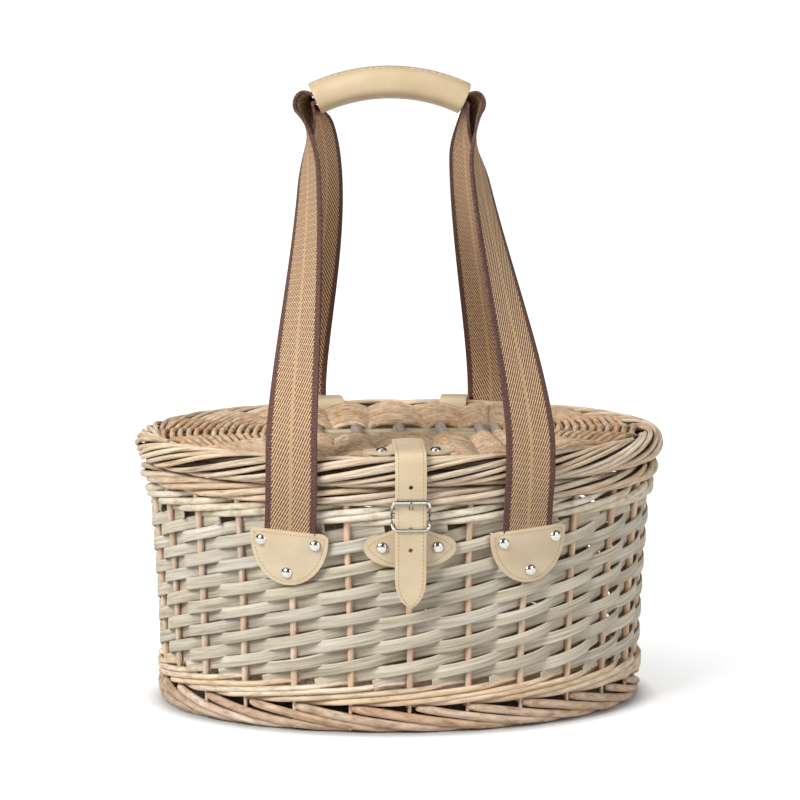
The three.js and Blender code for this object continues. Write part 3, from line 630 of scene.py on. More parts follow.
def joined(name: str, pieces: Sequence[Thing]) -> Thing:
    """Join meshes with their materials into one object.

    Args:
        name: name of the joined object.
        pieces: objects to join, the first taking in the others.

    Returns:
        The joined object.
    """
    with bpy.context.temp_override(active_object=pieces[0], selected_editable_objects=list(pieces)):
        bpy.ops.object.join()
    pieces[0].name = pieces[0].data.name = name
    return pieces[0]


def coat(piece: Thing, finish: Finish) -> Thing:
    """Give the piece one finish and return it."""
    piece.data.materials.append(finish.material())
    return piece


def stitches(name: str, line: Sequence[Vector], pitch: float = 2.9, length: float = 2.0,
             finish: Finish = Finish.THREAD) -> Thing:
    """Sew a row of short stitches along a line.

    Args:
        name: name of the object.
        line: points of the seam on the surface.
        pitch: distance from stitch to stitch.
        length: length of one stitch.
        finish: thread that is sewn.

    Returns:
        The mesh object in thread.
    """
    travel = [0.0]
    for a, b in zip(line, line[1:]):
        travel.append(travel[-1] + (b - a).length)

    def at(distance: float) -> Vector:
        """Point at a distance along the seam."""
        for i in range(1, len(line)):
            if distance <= travel[i]:
                share = (distance - travel[i - 1]) / max(1e-9, travel[i] - travel[i - 1])
                return line[i - 1].lerp(line[i], share)
        return line[-1].copy()

    rods = []
    for k in range(int(travel[-1] / (pitch * MM))):
        start = k * pitch * MM
        ends = [at(start + share * length * MM) for share in (0, 0.5, 1)]
        rods.append(Rod(ends, [0.2, 0.34, 0.2]))
    return coat(sweep(name, rods, sides=0), finish)


def domes(name: str, places: Sequence[Facing], radius: float = 4.4, height: float = 2.7,
          sunk: float = 0.8) -> Thing:
    """Make domed rivet heads.

    Args:
        name: name of the object.
        places: centre and outward direction of each head.
        radius: radius of a head.
        height: height of a head.
        sunk: how far a head reaches below its centre.

    Returns:
        The mesh object in nickel.
    """
    bm = bmesh.new()
    for at, face in places:
        turn = Vector((0, 0, 1)).rotation_difference(face).to_matrix().to_4x4()
        stand = Matrix.Translation(at) @ turn @ Matrix.Diagonal((radius * MM, radius * MM, height * MM, 1))
        made = bmesh.ops.create_uvsphere(bm, u_segments=28, v_segments=16, radius=1.0, matrix=stand)["verts"]
        edges = list({e for v in made for e in v.link_edges})
        faces = list({f for v in made for f in v.link_faces})
        bmesh.ops.bisect_plane(bm, geom=[*made, *edges, *faces], plane_co=at - face * sunk * MM,
                               plane_no=-face, clear_outer=True)
    bmesh.ops.holes_fill(bm, edges=[e for e in bm.edges if e.is_boundary])
    source = linked(name, stored(bm, bpy.data.meshes.new(name)))
    return coat(meshed(source, name), Finish.NICKEL)


def settle(piece: Thing, body: str, slot: str, *nodes: str) -> None:
    """Hand a finished piece to its CAD body.

    Args:
        piece: finished object.
        body: CAD body that carries it.
        slot: not used.
        nodes: CAD nodes that it stands for.
    """
    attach(piece, body)
    if nodes:
        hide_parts(*nodes)
    LOG.info("%s: %d faces on %s", piece.name, len(piece.data.polygons), body)


@dataclass(frozen=True)
class Oval:
    """Plan ovals of the basket, counted in stake spacings from the middle of the front."""

    stakes: int = 26
    difference: float = 65.0
    foot_half: float = 178.5
    flare: float = 7.0
    flare_level: float = 157.0

    def angle(self, place: float) -> float:
        """Plan angle of a place counted in stake spacings."""
        return place / self.stakes * TAU + FRONT

    def outward(self, half: float, t: float) -> Vector:
        """Unit vector straight out from the oval."""
        return Vector(((half - self.difference) * math.cos(t), half * math.sin(t), 0)).normalized()

    def point(self, half: float, t: float, out: float, z: float) -> Vector:
        """Point at a plan angle and height on the oval of a half width, pushed out."""
        at = Vector((half * math.cos(t), (half - self.difference) * math.sin(t), z))
        return (at + self.outward(half, t) * out) * MM

    def wall(self, z: float) -> float:
        """Half width of the oval through the stakes at a height."""
        return self.foot_half + self.flare * (z / self.flare_level) ** 2

    def on_wall(self, place: float, out: float, z: float) -> Vector:
        """Point off the stakes' oval at a place and height."""
        return self.point(self.wall(z), self.angle(place), out, z)

    def along(self, half: float, t: float, s: float) -> float:
        """Plan angle at a distance along the oval from another."""
        return t + s / math.hypot(half * math.sin(t), (half - self.difference) * math.cos(t))


OVAL = Oval()


# Woven body


@dataclass
class WovenWall:
    """Stakes, climbing strips and waled bands of the body."""

    rng: random.Random = field(default_factory=lambda: random.Random(11))
    strides: int = 12
    pitch: float = 9.05
    start_z: float = 41.2
    strip_height: float = 9.35
    strip_thickness: float = 1.9
    swing: float = 3.5
    pinch: float = 0.075
    back_pinch: float = 0.13
    back_depths: Pair = (-25, 15)
    back_girth: float = 1.09
    overlap: float = 0.6
    stake_radius: float = 2.45
    stake_tip: float = 1.5
    stake_foot: float = 2.0
    stake_top: float = 176.0
    wale_level: float = 23.0

    def strip(self, first: int) -> Rod:
        """One strip from its first stake up to the upper wale.

        Args:
            first: stake where it starts.

        Returns:
            The strip's middle line.
        """
        lean, waver = self.rng.uniform(-0.35, 0.35), self.rng.uniform(0, TAU)
        points, widths = [], []
        count = self.strides * 10
        for i in range(count + 1):
            k = mix(-self.overlap, self.strides + self.overlap, i / count)
            out = -self.swing * signed_power(math.cos(math.pi * k), 0.6)
            z = self.start_z + k * self.pitch + 0.4 * math.sin(1.7 * k + waver) + lean
            points.append(OVAL.on_wall(first + k, out, z))
            back = smooth(points[-1].y / MM, *self.back_depths)
            girth = mix(1.0, self.back_girth, back) + 0.05 * math.sin(0.9 * k + 2 * waver)
            widths.append(girth - mix(self.pinch, self.back_pinch, back) * out / self.swing)
        return Rod(points, widths)

    def stake(self, place: int) -> Rod:
        """One upright stake with a slight wander, thin below the lower wale.

        Args:
            place: place of the stake in spacings.

        Returns:
            The stake.
        """
        drift, girth = self.rng.uniform(-0.02, 0.02), self.rng.uniform(0.92, 1.06)
        levels = [mix(self.stake_foot, self.stake_top, i / 22) for i in range(23)]
        points = [OVAL.on_wall(place + drift * math.sin(z / 31), 0, z) for z in levels]
        radii = [mix(self.stake_tip, self.stake_radius * girth, smooth(z, self.wale_level, self.wale_level + 10))
                 for z in levels]
        return Rod(points, radii)

    def wale(self, name: str, middle: float, over: int, radius: float, pitch: float, reach: float = 3.8) -> Thing:
        """Rods that each pass before a few stakes, climbing a little, and end behind the next ones.

        Args:
            name: name of the object.
            middle: level of the middle of the band.
            over: stakes that a rod passes before it dives behind one.
            radius: radius of a rod.
            pitch: climb from stake to stake.
            reach: how far a rod swings out and in.

        Returns:
            The mesh object.
        """
        rods = []
        span = over + 1
        for first in range(OVAL.stakes):
            girth, lift, slip = (self.rng.uniform(a, b) for a, b in ((0.9, 1.06), (-0.5, 0.5), (-0.08, 0.08)))
            points = []
            for i in range(span * 8 + 1):
                u = i / 8
                before = smooth(u, 0.1, 0.9) * (1 - smooth(u, span - 0.9, span - 0.1))
                z = middle + pitch * (u - span / 2) + lift * math.sin(math.pi * u / span)
                points.append(OVAL.on_wall(first + u + slip, reach * (2 * before - 1), z))
            rods.append(even(points, radius * girth, self.rng.uniform(0.85, 1.0)))
        return sweep(name, rods)

    def build(self) -> None:
        """Make stakes, strips and both wales."""
        section = flat_section(self.strip_thickness, self.strip_height, 0.7, 0.45)
        strips = sweep("body_weave", [self.strip(i) for i in range(OVAL.stakes)], section)
        names = [f"weave_strip_{i + 1:02d}" for i in range(OVAL.stakes)]
        settle(coat(strips, Finish.STRIP), "basket", "strip", *names)
        stakes = sweep("body_stakes", [self.stake(i) for i in range(OVAL.stakes)])
        settle(coat(stakes, Finish.STAKE), "basket", "rod")
        lower = self.wale("body_lower_wale", middle=28.5, over=3, radius=2.3, pitch=4.2)
        settle(coat(lower, Finish.WALE), "basket", "rod", "lower_wale")
        upper = self.wale("body_upper_wale", middle=163.8, over=2, radius=2.7, pitch=5.1)
        settle(coat(upper, Finish.PALE), "basket", "pale_rod", "upper_wale")


# Borders


@dataclass(frozen=True)
class RolledBorder:
    """Border of rods that roll over one another, in groups, rising along the outer side."""

    name: str
    half: float
    middle_z: float
    reach_out: float
    reach_up: float
    rods: int
    group: int
    lay: float
    radius: float
    seed: int
    start: float = -2.5

    def rod(self, number: int, rng: random.Random) -> Rod:
        """One rod from where it starts inside, out, over the top and back in.

        Args:
            number: which rod it is.
            rng: source of small differences between rods.

        Returns:
            The rod.
        """
        each = OVAL.stakes / self.rods
        place = (number // self.group) * self.group * each + (number % self.group) * each * 0.82
        slack, slip, waver = rng.uniform(0.9, 1.07), rng.uniform(-0.16, 0.16), rng.uniform(0, TAU)
        turns = rng.choice((0.66, 0.98, 1.0, 1.0, 1.02))
        points = []
        count = round(self.lay * 9)
        for i in range(count + 1):
            u = i / count * self.lay * turns
            a = self.start + TAU * u / self.lay + 0.14 * math.sin(0.9 * u + waver)
            out = slack * self.reach_out * math.cos(a)
            z = self.middle_z + self.reach_up * math.sin(a)
            points.append(OVAL.point(self.half, OVAL.angle(place + slip + u), out, z))
        return even(points, self.radius * rng.uniform(0.86, 1.1), rng.uniform(0.72, 0.95))

    def hoop(self, level: int) -> Rod:
        """Stake ends bent round inside the border, which fill it behind the rolled rods.

        Args:
            level: 1 above the border's middle, -1 below it.

        Returns:
            A closed rod.
        """
        z = self.middle_z + level * self.reach_up * 0.36
        points = [OVAL.point(self.half, i / 96 * TAU, -level * 0.8, z) for i in range(96)]
        return even(points, min(self.reach_up, self.reach_out) * 0.5, closed=True)

    def build(self) -> Thing:
        """Sweep all rods of the border and the hoops inside it.

        Returns:
            The mesh object.
        """
        rng = random.Random(self.seed)
        rods = coat(sweep(self.name, [self.rod(i, rng) for i in range(self.rods)]), Finish.ROD)
        core = sweep(f"{self.name}_core", [self.hoop(level) for level in BOTH])
        # The hoops take the dark core finish: painted shade that darkens the gaps between the rolled rods
        return joined(self.name, [rods, coat(core, Finish.CORE)])


@dataclass
class Borders:
    """Foot, top and lid borders; a foot rod's route gives places along, distances out and heights."""

    top: RolledBorder = RolledBorder("body_top_border", half=187.5, middle_z=177.6, reach_out=6.8, reach_up=4.5,
                                     rods=26, group=1, lay=5.2, radius=2.5, seed=3)
    lid: RolledBorder = RolledBorder("lid_rolled_border", half=189.0, middle_z=196.2, reach_out=8.8, reach_up=9.5,
                                     rods=52, group=2, lay=6.3, radius=1.9, seed=5)
    route: tuple[tuple[float, float, float], ...] = (
        (0.06, 0.4, 18.6), (0.12, 1.2, 18.4), (0.3, 2.0, 17.3), (0.75, 2.5, 14.0), (1.2, 2.4, 10.6),
        (1.7, 1.9, 7.3), (2.2, 0.7, 4.9), (2.7, -2.2, 3.7), (3.2, -6.0, 3.6))

    def foot_rod(self, first: int, rng: random.Random) -> Rod:
        """One foot rod: a blunt end under the wale, slanting down to the floor and tucked inside.

        Args:
            first: stake where it comes out.
            rng: source of small differences.

        Returns:
            The rod.
        """
        lift, slip, girth = rng.uniform(-0.5, 0.5), rng.uniform(-0.07, 0.07), rng.uniform(2.9, 3.4)
        knots = [OVAL.point(OVAL.foot_half, OVAL.angle(first + slip + u), out, z + (lift if 5 < z < 17 else 0))
                 for u, out, z in self.route]
        points = through(knots, 4)
        return Rod(points, [girth * min(1.0, 0.56 + 0.06 * i) for i in range(len(points))])

    def build(self) -> None:
        """Make the three borders."""
        rng = random.Random(8)
        foot = sweep("body_foot_border", [self.foot_rod(i, rng) for i in range(OVAL.stakes)], sides=3)
        settle(coat(foot, Finish.FOOT), "basket", "rod", "foot_border")
        settle(self.top.build(), "basket", "rod", "top_border_and_stakes")
        settle(self.lid.build(), "lid", "rod", "lid_border")


# Lid and base


@dataclass
class PairedOval:
    """Oval panel of paired rods round a slath of flat slats and cross sticks, a rod over every spoke in each row."""

    name: str
    outer_half: float
    outer_out: float
    middle_z: float
    wave: float
    radius: float
    rows: int
    slat_z: float
    stick_z: float
    stick_under: float
    stick_radius: float
    spoke_radius: float
    rng: random.Random = field(default_factory=lambda: random.Random(21))
    slath_length: float = 160.0
    slath_width: float = 44.0
    slat_thickness: float = 5.0
    slat_gap: float = 0.8
    sticks: tuple[float, ...] = (0.0, 32.0, 62.0, 73.0)
    stick_reach: float = 92.0
    stick_dive: Pair = (17, 30)
    fan: float = 1.12
    fan_start: float = 22.0
    corner_spokes: int = 3

    def spokes(self) -> list[Pair]:
        """Plan angles of every spoke, where it leaves the slath and where it meets the border.

        Returns:
            Pairs of angles in order round the oval.
        """
        rim = self.outer_half + self.outer_out
        sticks = [(math.pi / 2 - math.asin((2 * x / self.slath_length) ** 2), math.acos(x * self.fan / rim))
                  for x in reversed(self.sticks)]
        corners = [(f / self.corner_spokes * sticks[0][0], f / self.corner_spokes * sticks[0][1])
                   for f in range(self.corner_spokes)]
        quarter = corners + sticks
        half = quarter + [(math.pi - a, math.pi - b) for a, b in reversed(quarter[:-1])]
        return half + [(math.pi + a, math.pi + b) for a, b in half[1:-1]]

    def within(self, inner: float, outer: float, share: float, z: float) -> Vector:
        """Point between the slath's edge and the border.

        Args:
            inner: plan angle at the slath.
            outer: plan angle at the border.
            share: 0 at the slath and 1 at the border.
            z: height.

        Returns:
            The point.
        """
        edge = Vector((signed_power(math.cos(inner), 0.5) * self.slath_length / 2,
                       signed_power(math.sin(inner), 0.5) * self.slath_width / 2, z)) * MM
        return edge.lerp(OVAL.point(self.outer_half, outer, self.outer_out, z), share)

    def over_rod(self, row: int, spoke: int, ring: Sequence[Pair]) -> Rod:
        """One rod of a row from under a spoke, over the next one and under the one after.

        Args:
            row: row counted from the slath.
            spoke: spoke that it crosses.
            ring: all spokes.

        Returns:
            The rod.
        """
        count = len(ring)
        lift, slip, girth = self.rng.uniform(-0.3, 0.3), self.rng.uniform(-0.08, 0.08), self.rng.uniform(0.9, 1.07)
        points = []
        for i in range(17):
            x = i / 8 - 1
            here = spoke + math.floor(x)
            after = here + 1
            angles = [mix(ring[here % count][k] + TAU * (here // count),
                          ring[after % count][k] + TAU * (after // count), x - math.floor(x)) for k in (0, 1)]
            z = self.middle_z + (self.wave + lift) * math.cos(math.pi * x)
            share = (row + 0.5 + slip + 0.3 * math.sin(math.pi * x)) / self.rows
            points.append(self.within(*angles, share, z))
        return even(points, self.radius * girth)

    def spoke_rod(self, inner: float, outer: float) -> Rod:
        """One spoke that the rows are woven round, from the slath to the border."""
        points = [self.within(inner, outer, mix(0.02, 0.97, i / 8), self.middle_z) for i in range(9)]
        return even(points, self.spoke_radius)

    def slat(self, lane: int) -> Rod:
        """One flat slat of the slath, the middle one a little longer."""
        reach, y = self.slath_length / 2 - 2 - 4 * abs(lane), lane * self.slath_width / 3
        return even([Vector((mix(-reach, reach, i / 10), y, self.slat_z)) * MM for i in range(11)], 1.0)

    def stick(self, x: float) -> Rod:
        """One cross stick on the slats, running out under the rows.

        Args:
            x: place along the slath.

        Returns:
            The stick.
        """
        points = []
        for i in range(47):
            y = mix(-self.stick_reach, self.stick_reach, i / 46)
            under = smooth(abs(y), *self.stick_dive)
            spread = 1 + (self.fan - 1) * smooth(abs(y), self.fan_start, self.stick_reach)
            points.append(Vector((x * spread, y, mix(self.stick_z, self.stick_under, under))) * MM)
        return even(points, self.stick_radius)

    def build(self) -> tuple[Thing, Thing]:
        """Make the rows and the slath.

        Returns:
            The rows and the joined slats and sticks.
        """
        ring = self.spokes()
        rods = [self.over_rod(row, spoke, ring) for row in range(self.rows) for spoke in range(len(ring))]
        woven = sweep(self.name + "_rows", rods)
        places = [*self.sticks, *(-x for x in self.sticks[1:])]
        sticks = [*(self.stick(x) for x in places), *(self.spoke_rod(*angles) for angles in ring)]
        sticks = coat(sweep(self.name + "_sticks", sticks), Finish.DOWEL)
        section = flat_section(self.slath_width / 3 - self.slat_gap, self.slat_thickness, 0.4, 0.6)
        slats = sweep(self.name + "_slats", [self.slat(lane) for lane in (-1, 0, 1)], section)
        return woven, joined(self.name + "_slath", [coat(slats, Finish.SLAT), sticks])


@dataclass
class Panels:
    """Woven lid and base."""

    lid: PairedOval = field(default_factory=lambda: PairedOval(
        "lid_panel", outer_half=189.0, outer_out=-8.5, middle_z=201.0, wave=4.8, radius=2.05, rows=16, slat_z=200.0,
        stick_z=202.4, stick_under=199.6, stick_radius=4.8, spoke_radius=2.5))
    base: PairedOval = field(default_factory=lambda: PairedOval(
        "base_weave", outer_half=178.7, outer_out=-3.5, middle_z=24.7, wave=1.4, radius=1.9, rows=14, slat_z=25.4,
        stick_z=24.0, stick_under=24.0, stick_radius=2.2, spoke_radius=1.3))

    def build(self) -> None:
        """Make both panels."""
        rows, slath = self.lid.build()
        settle(coat(rows, Finish.LID), "lid", "rod", "lid_weave")
        settle(slath, "lid", "stick", "lid_slath")
        rows, slath = self.base.build()
        settle(coat(rows, Finish.WALE), "basket", "rod", "base_panel")
        settle(slath, "basket", "stick")


# Leather


@dataclass
class WallTabs:
    """Sewn and riveted leather tabs that hold the ends of the carrying straps."""

    reach_x: float = 86.0
    middle_level: float = 136.0
    width: float = 57.0
    low: float = 111.0
    high: float = 152.0
    shoulder: float = 6.0
    tilt_degrees: float = 4.0
    base_out: float = 6.2
    swell: float = 2.4
    swell_across: Pair = (15, 25)
    swell_levels: Pair = (122, 146)
    seam_in: float = 2.6
    rivets: tuple[Pair, ...] = ((-RIVET_SPREAD, 143), (RIVET_SPREAD, 143), (0, 120))

    def outline(self, f: float, inset: float = 0.0) -> Pair:
        """Lower and upper edge at a place across the tab, moved in by an inset."""
        round_off = (self.high - self.low - self.shoulder) * (1 - math.sqrt(max(0.0, 1 - f * f)))
        return self.low + inset + round_off, self.high - inset - 3 * abs(f) ** 10

    def surface(self, t: float, s: float, z: float, lift: float = 0.0) -> Vector:
        """Point on the tab's middle surface, swollen over the strap end.

        Args:
            t: plan angle of the tab's middle.
            s: distance across from the middle.
            z: height.
            lift: distance off the middle surface.

        Returns:
            The point.
        """
        lean = math.radians(self.tilt_degrees) * (1 if math.sin(2 * t) > 0 else -1)
        middle = (self.low + self.high) / 2
        s, z = s + (z - middle) * math.sin(lean), z - s * math.sin(lean)
        half = OVAL.wall(z)
        over = (1 - smooth(abs(s), *self.swell_across)) * smooth(z, *self.swell_levels)
        return OVAL.point(half, OVAL.along(half, t, s), self.base_out + self.swell * over + lift, z)

    def seam(self, t: float) -> list[Vector]:
        """Seam that follows the edge all round.

        Args:
            t: plan angle of the tab's middle.

        Returns:
            Points on the outer face.
        """
        reach = self.width / 2 - self.seam_in
        line = []
        for edge, way, steps in ((0, -1, 80), (1, 1, 60)):
            for i in range(steps + 1):
                f = way * math.cos(i / steps * math.pi)
                line.append(self.surface(t, f * reach, self.outline(f, self.seam_in)[edge], THREAD_LIFT))
        return [*line, line[0]]

    def build_one(self, name: str, t: float) -> None:
        """Make one tab with its seam and rivets.

        Args:
            name: which tab it is.
            t: plan angle of its middle.
        """

        def place(f: float, g: float) -> Vector:
            """Point of the sheet."""
            bent = math.sin(f * math.pi / 2)
            return self.surface(t, bent * self.width / 2, mix(*self.outline(bent), g))

        leather = coat(sheet(f"tab_{name}_leather", 32, 20, place, LEATHER_THICKNESS, LEATHER_RIM), Finish.LEATHER)
        heads = []
        for s, z in self.rivets:
            half = OVAL.wall(z)
            heads.append((self.surface(t, s, z, RIVET_LIFT), OVAL.outward(half, OVAL.along(half, t, s))))
        rivets = domes(f"tab_{name}_rivets", heads)
        thread = stitches(f"tab_{name}_seam", self.seam(t))
        settle(joined(f"tab_{name}", [leather, thread]), "basket", "leather", f"handle_tab_{name}")
        settle(rivets, "basket", "nickel")

    def build(self) -> None:
        """Make the four tabs."""
        a = math.acos(self.reach_x / OVAL.wall(self.middle_level))
        for name, t in {"front_right": -a, "front_left": a - math.pi,
                        "rear_right": a, "rear_left": math.pi - a}.items():
            self.build_one(name, t)


@dataclass
class Band:
    """Flat band of leather along a line of places, with its two seams."""

    name: str
    knots: Sequence[Pair]
    width: float
    thickness: float
    frame: Place
    side: Vector
    taper: Callable[[float], float] = lambda g: 1.0
    steps: int = 8
    seam_in: float = 2.4

    def build(self, finish: Finish, seams: bool = True) -> list[Thing]:
        """Make the leather and, if asked, the seams along both edges.

        Args:
            finish: leather of the band.
            seams: whether the edges are sewn.

        Returns:
            The leather first, then the seams.
        """
        line = through([self.frame(a, z) for a, z in self.knots], self.steps)
        last = len(line) - 1

        def reach(i: int) -> float:
            """Half width at a point of the line."""
            return self.width / 2 * self.taper(i / last)

        def place(f: float, g: float) -> Vector:
            """Point of the sheet."""
            i = min(last, round(g * last))
            return line[i] + self.side * (f * reach(i) * MM)

        made = [coat(sheet(self.name + "_leather", 6, last, place, self.thickness, 0.5), finish)]
        for hand in BOTH if seams else ():
            seam = []
            for i, at in enumerate(line[1:-1], 1):
                face = (line[i + 1] - line[i - 1]).normalized().cross(self.side).normalized()
                inset = max(0.0, reach(i) - self.seam_in)
                seam.append(at + self.side * (hand * inset * MM) + face * (self.thickness / 2 * MM))
            made.append(stitches(f"{self.name}_seam_{hand + 1}", seam))
        return made


@dataclass
class Hinges:
    """Two leather hinges round the lid border and down the back of the body, by distances out and heights."""

    reach_x: float = 53.0
    width: float = 21.0
    lid_half: float = 200.0
    line_half: float = 189.0
    knots: tuple[Pair, ...] = (
        (-12.6, 203.0), (-12.2, 207.0), (-9.0, 209.6), (0.0, 210.2), (9.0, 209.2), (12.3, 205.0), (12.6, 196.0),
        (12.4, 188.0), (11.4, 184.2), (10.2, 181.0), (9.4, 174.0), (6.6, 167.0), (5.4, 158.0))

    def build(self) -> None:
        """Make both hinges, each passing the line where the lid meets the body."""
        right = math.acos(self.reach_x / self.lid_half)
        for name, t in (("right", right), ("left", math.pi - right)):
            face = OVAL.outward(self.line_half, t)

            def at(out: float, z: float, t: float = t) -> Vector:
                """Place in the hinge's upright plane."""
                return OVAL.point(self.line_half, t, out, z)

            band = Band(f"hinge_{name}", self.knots, self.width, LEATHER_THICKNESS, at, Vector((face.y, -face.x, 0)))
            piece = joined(f"hinge_{name}", band.build(Finish.LEATHER))
            at(11, 178)
            at(11, 190)
            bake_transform(piece)
            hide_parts(f"hinge_upper_{name}", f"hinge_lower_{name}")
            LOG.info("%s bends from basket to lid", piece.name)


@dataclass
class Closure:
    """Leather closure: winged tabs, strap, chape and the buckle with its prong."""

    bar_y: float = -129.84
    bar_z: float = 166.4
    lid_tab_y: float = -105.5
    lid_tab_raised: Pair = (211.2, 209.2)
    lid_tab_slope: Pair = (90, 114)
    lid_tab_step: Pair = (9.5, 17.0)
    lid_tab_z: float = 207.7
    wing_z: float = 141.1
    wing_width: float = 66.0
    wing_up: float = 14.3
    wing_down: float = 15.2
    wing_out: float = 6.2
    strap_width: float = 22.6
    strap_thickness: float = 1.9
    hole_pitch: float = 15.5
    hole_radius: float = 1.6
    hole_y: float = -134.0
    bar_half: float = 13.0
    bar_radius: float = 1.2
    roller_half: float = 10.5
    roller_radius: float = 1.9
    wire_radius: float = 1.05
    loop_half: float = 13.6
    loop_rise: float = 10.5
    loop_y: Pair = (-136.7, -137.9)
    prong_degrees: float = 47.8
    eye_radius: float = 2.1
    chape_width: float = 18.0
    chape_reach: float = 2.2
    # Depths and heights of the strap, from its end on the lid to its point
    knots: tuple[Pair, ...] = (
        (-84.0, 212.6), (-90.0, 213.2), (-97.0, 212.9), (-107.0, 211.8), (-117.0, 211.6), (-125.0, 211.4),
        (-131.5, 210.0), (-135.4, 206.0), (-136.6, 198.0), (-136.6, 190.0), (-136.0, 183.0), (-135.3, 177.0),
        (-134.1, 170.0), (-133.95, 163.0), (-133.9, 156.0), (-133.5, 148.0), (-132.9, 138.0), (-132.7, 126.0),
        (-132.6, 115.0), (-132.6, 108.0), (-132.6, 102.0), (-132.6, 98.3))

    def wing(self, f: float) -> Pair:
        """Lower and upper edge of a winged tab at a place across it, waisted above.

        Args:
            f: place across, -1 to 1.

        Returns:
            Heights from the tab's middle line.
        """
        reach = min(1.0, abs(f))
        waist = 1.9 * math.exp(-(((reach - 0.6) / 0.22) ** 2))
        high = self.wing_up * math.sqrt(1 - reach**2) - waist * (1 - reach**6)
        low = self.wing_down * (1 - reach**2.6) ** 0.55
        return -low, high

    def on_wall(self, s: float, z: float, lift: float = 0.0) -> Vector:
        """Point on the wall's winged tab."""
        half = OVAL.wall(z)
        return OVAL.point(half, OVAL.along(half, FRONT, s), self.wing_out + lift, z)

    def on_lid(self, x: float, y: float, lift: float = 0.0) -> Vector:
        """Point on the lid's winged tab, raised under the strap and lying on the weave at its wings."""
        raised = mix(*self.lid_tab_raised, smooth(-y, *self.lid_tab_slope))
        return Vector((x, y, mix(raised, self.lid_tab_z, smooth(abs(x), *self.lid_tab_step)) + lift)) * MM

    def winged(self, name: str, on: Place, middle: float, scale: float) -> Thing:
        """Winged leather on the wall or on the lid.

        Args:
            name: name of the object.
            on: point of the surface for a place across and a place along it.
            middle: place along of the tab's middle line.
            scale: share of the tab's height that is used.

        Returns:
            The mesh object in leather.
        """

        def place(f: float, g: float) -> Vector:
            """Point of the sheet."""
            bent = math.sin(f * math.pi / 2)
            return on(bent * self.wing_width / 2, middle + mix(*self.wing(bent), g) * scale)

        return coat(sheet(name, 44, 12, place, LEATHER_THICKNESS, LEATHER_RIM), Finish.LEATHER)

    def wings(self) -> None:
        """Winged tabs on the wall, with its seams, and on the lid, and their rivets."""
        rows = []
        for hand in BOTH:
            line = []
            for i in range(61):
                a = mix(-1, 1, i / 60)
                f = 0.34 + 0.56 * math.sqrt(1 - a * a)
                low, high = self.wing(f / 0.92)
                z = self.wing_z + a * (high if a > 0 else -low) * 0.84
                line.append(self.on_wall(hand * f * self.wing_width / 2, z, THREAD_LIFT))
            rows.append(stitches(f"closure_wing_seam_{hand + 1}", line))
        leather = self.winged("closure_wing_leather", self.on_wall, self.wing_z, 1.0)
        settle(joined("closure_wing", [leather, *rows]), "basket", "leather", "closure_tab")
        half = OVAL.wall(self.wing_z)
        spots = [hand * RIVET_SPREAD for hand in BOTH]
        heads = [(self.on_wall(s, self.wing_z, RIVET_LIFT), OVAL.outward(half, OVAL.along(half, FRONT, s)))
                 for s in spots]
        settle(domes("closure_wing_rivets", heads), "basket", "nickel")
        settle(self.winged("lid_wing_leather", self.on_lid, self.lid_tab_y, 0.9), "lid", "leather", "lid_tab")
        heads = [(self.on_lid(s, self.lid_tab_y - 2, RIVET_LIFT), Vector((0, 0, 1))) for s in spots]
        settle(domes("lid_wing_rivets", heads), "lid", "nickel")

    def band(self, name: str, knots: Sequence[Pair], width: float, thickness: float,
             taper: Callable[[float], float] = lambda g: 1.0) -> Band:
        """Band of leather in the upright plane through the buckle."""
        return Band(name, knots, width, thickness, lambda y, z: Vector((0, y, z)) * MM, Vector((1, 0, 0)), taper)

    def strap(self) -> None:
        """Pointed strap from the lid through the buckle, with punched holes."""

        def taper(g: float) -> float:
            """Share of the full width left at the rounded lid end and near the point."""
            near = max(0.0, (g - 0.82) / 0.18)
            rounded = math.sqrt(max(0.04, 1 - max(0.0, 1 - g / 0.075) ** 2))
            return min(rounded, 1 - 0.94 * near**2.2)

        band = self.band("closure_strap_band", self.knots, self.strap_width, self.strap_thickness, taper)
        leather, *seams = band.build(Finish.LEATHER)
        for step in (-2, -1, 0, 1):
            z = self.bar_z + 5.2 + step * self.hole_pitch
            bpy.ops.mesh.primitive_cylinder_add(vertices=20, radius=self.hole_radius * MM, depth=14 * MM,
                                                location=(0, self.hole_y * MM, z * MM), rotation=(math.pi / 2, 0, 0))
            punch = bpy.context.active_object
            cut = leather.modifiers.new("hole", "BOOLEAN")
            cut.operation = "DIFFERENCE"
            cut.object = punch
            leather = coat(meshed(leather, "closure_strap_leather"), Finish.LEATHER)
            bpy.data.objects.remove(punch)
        settle(joined("closure_strap_band", [leather, *seams]), "lid", "leather", "closure_strap")

    def buckle(self) -> None:
        """Buckle frame with its centre bar and roller, and the prong with its eye."""

        def off_bar(x: float, y: float, z: float) -> Vector:
            """Point counted from the middle of the centre bar."""
            return Vector((x, self.bar_y + y, self.bar_z + z)) * MM

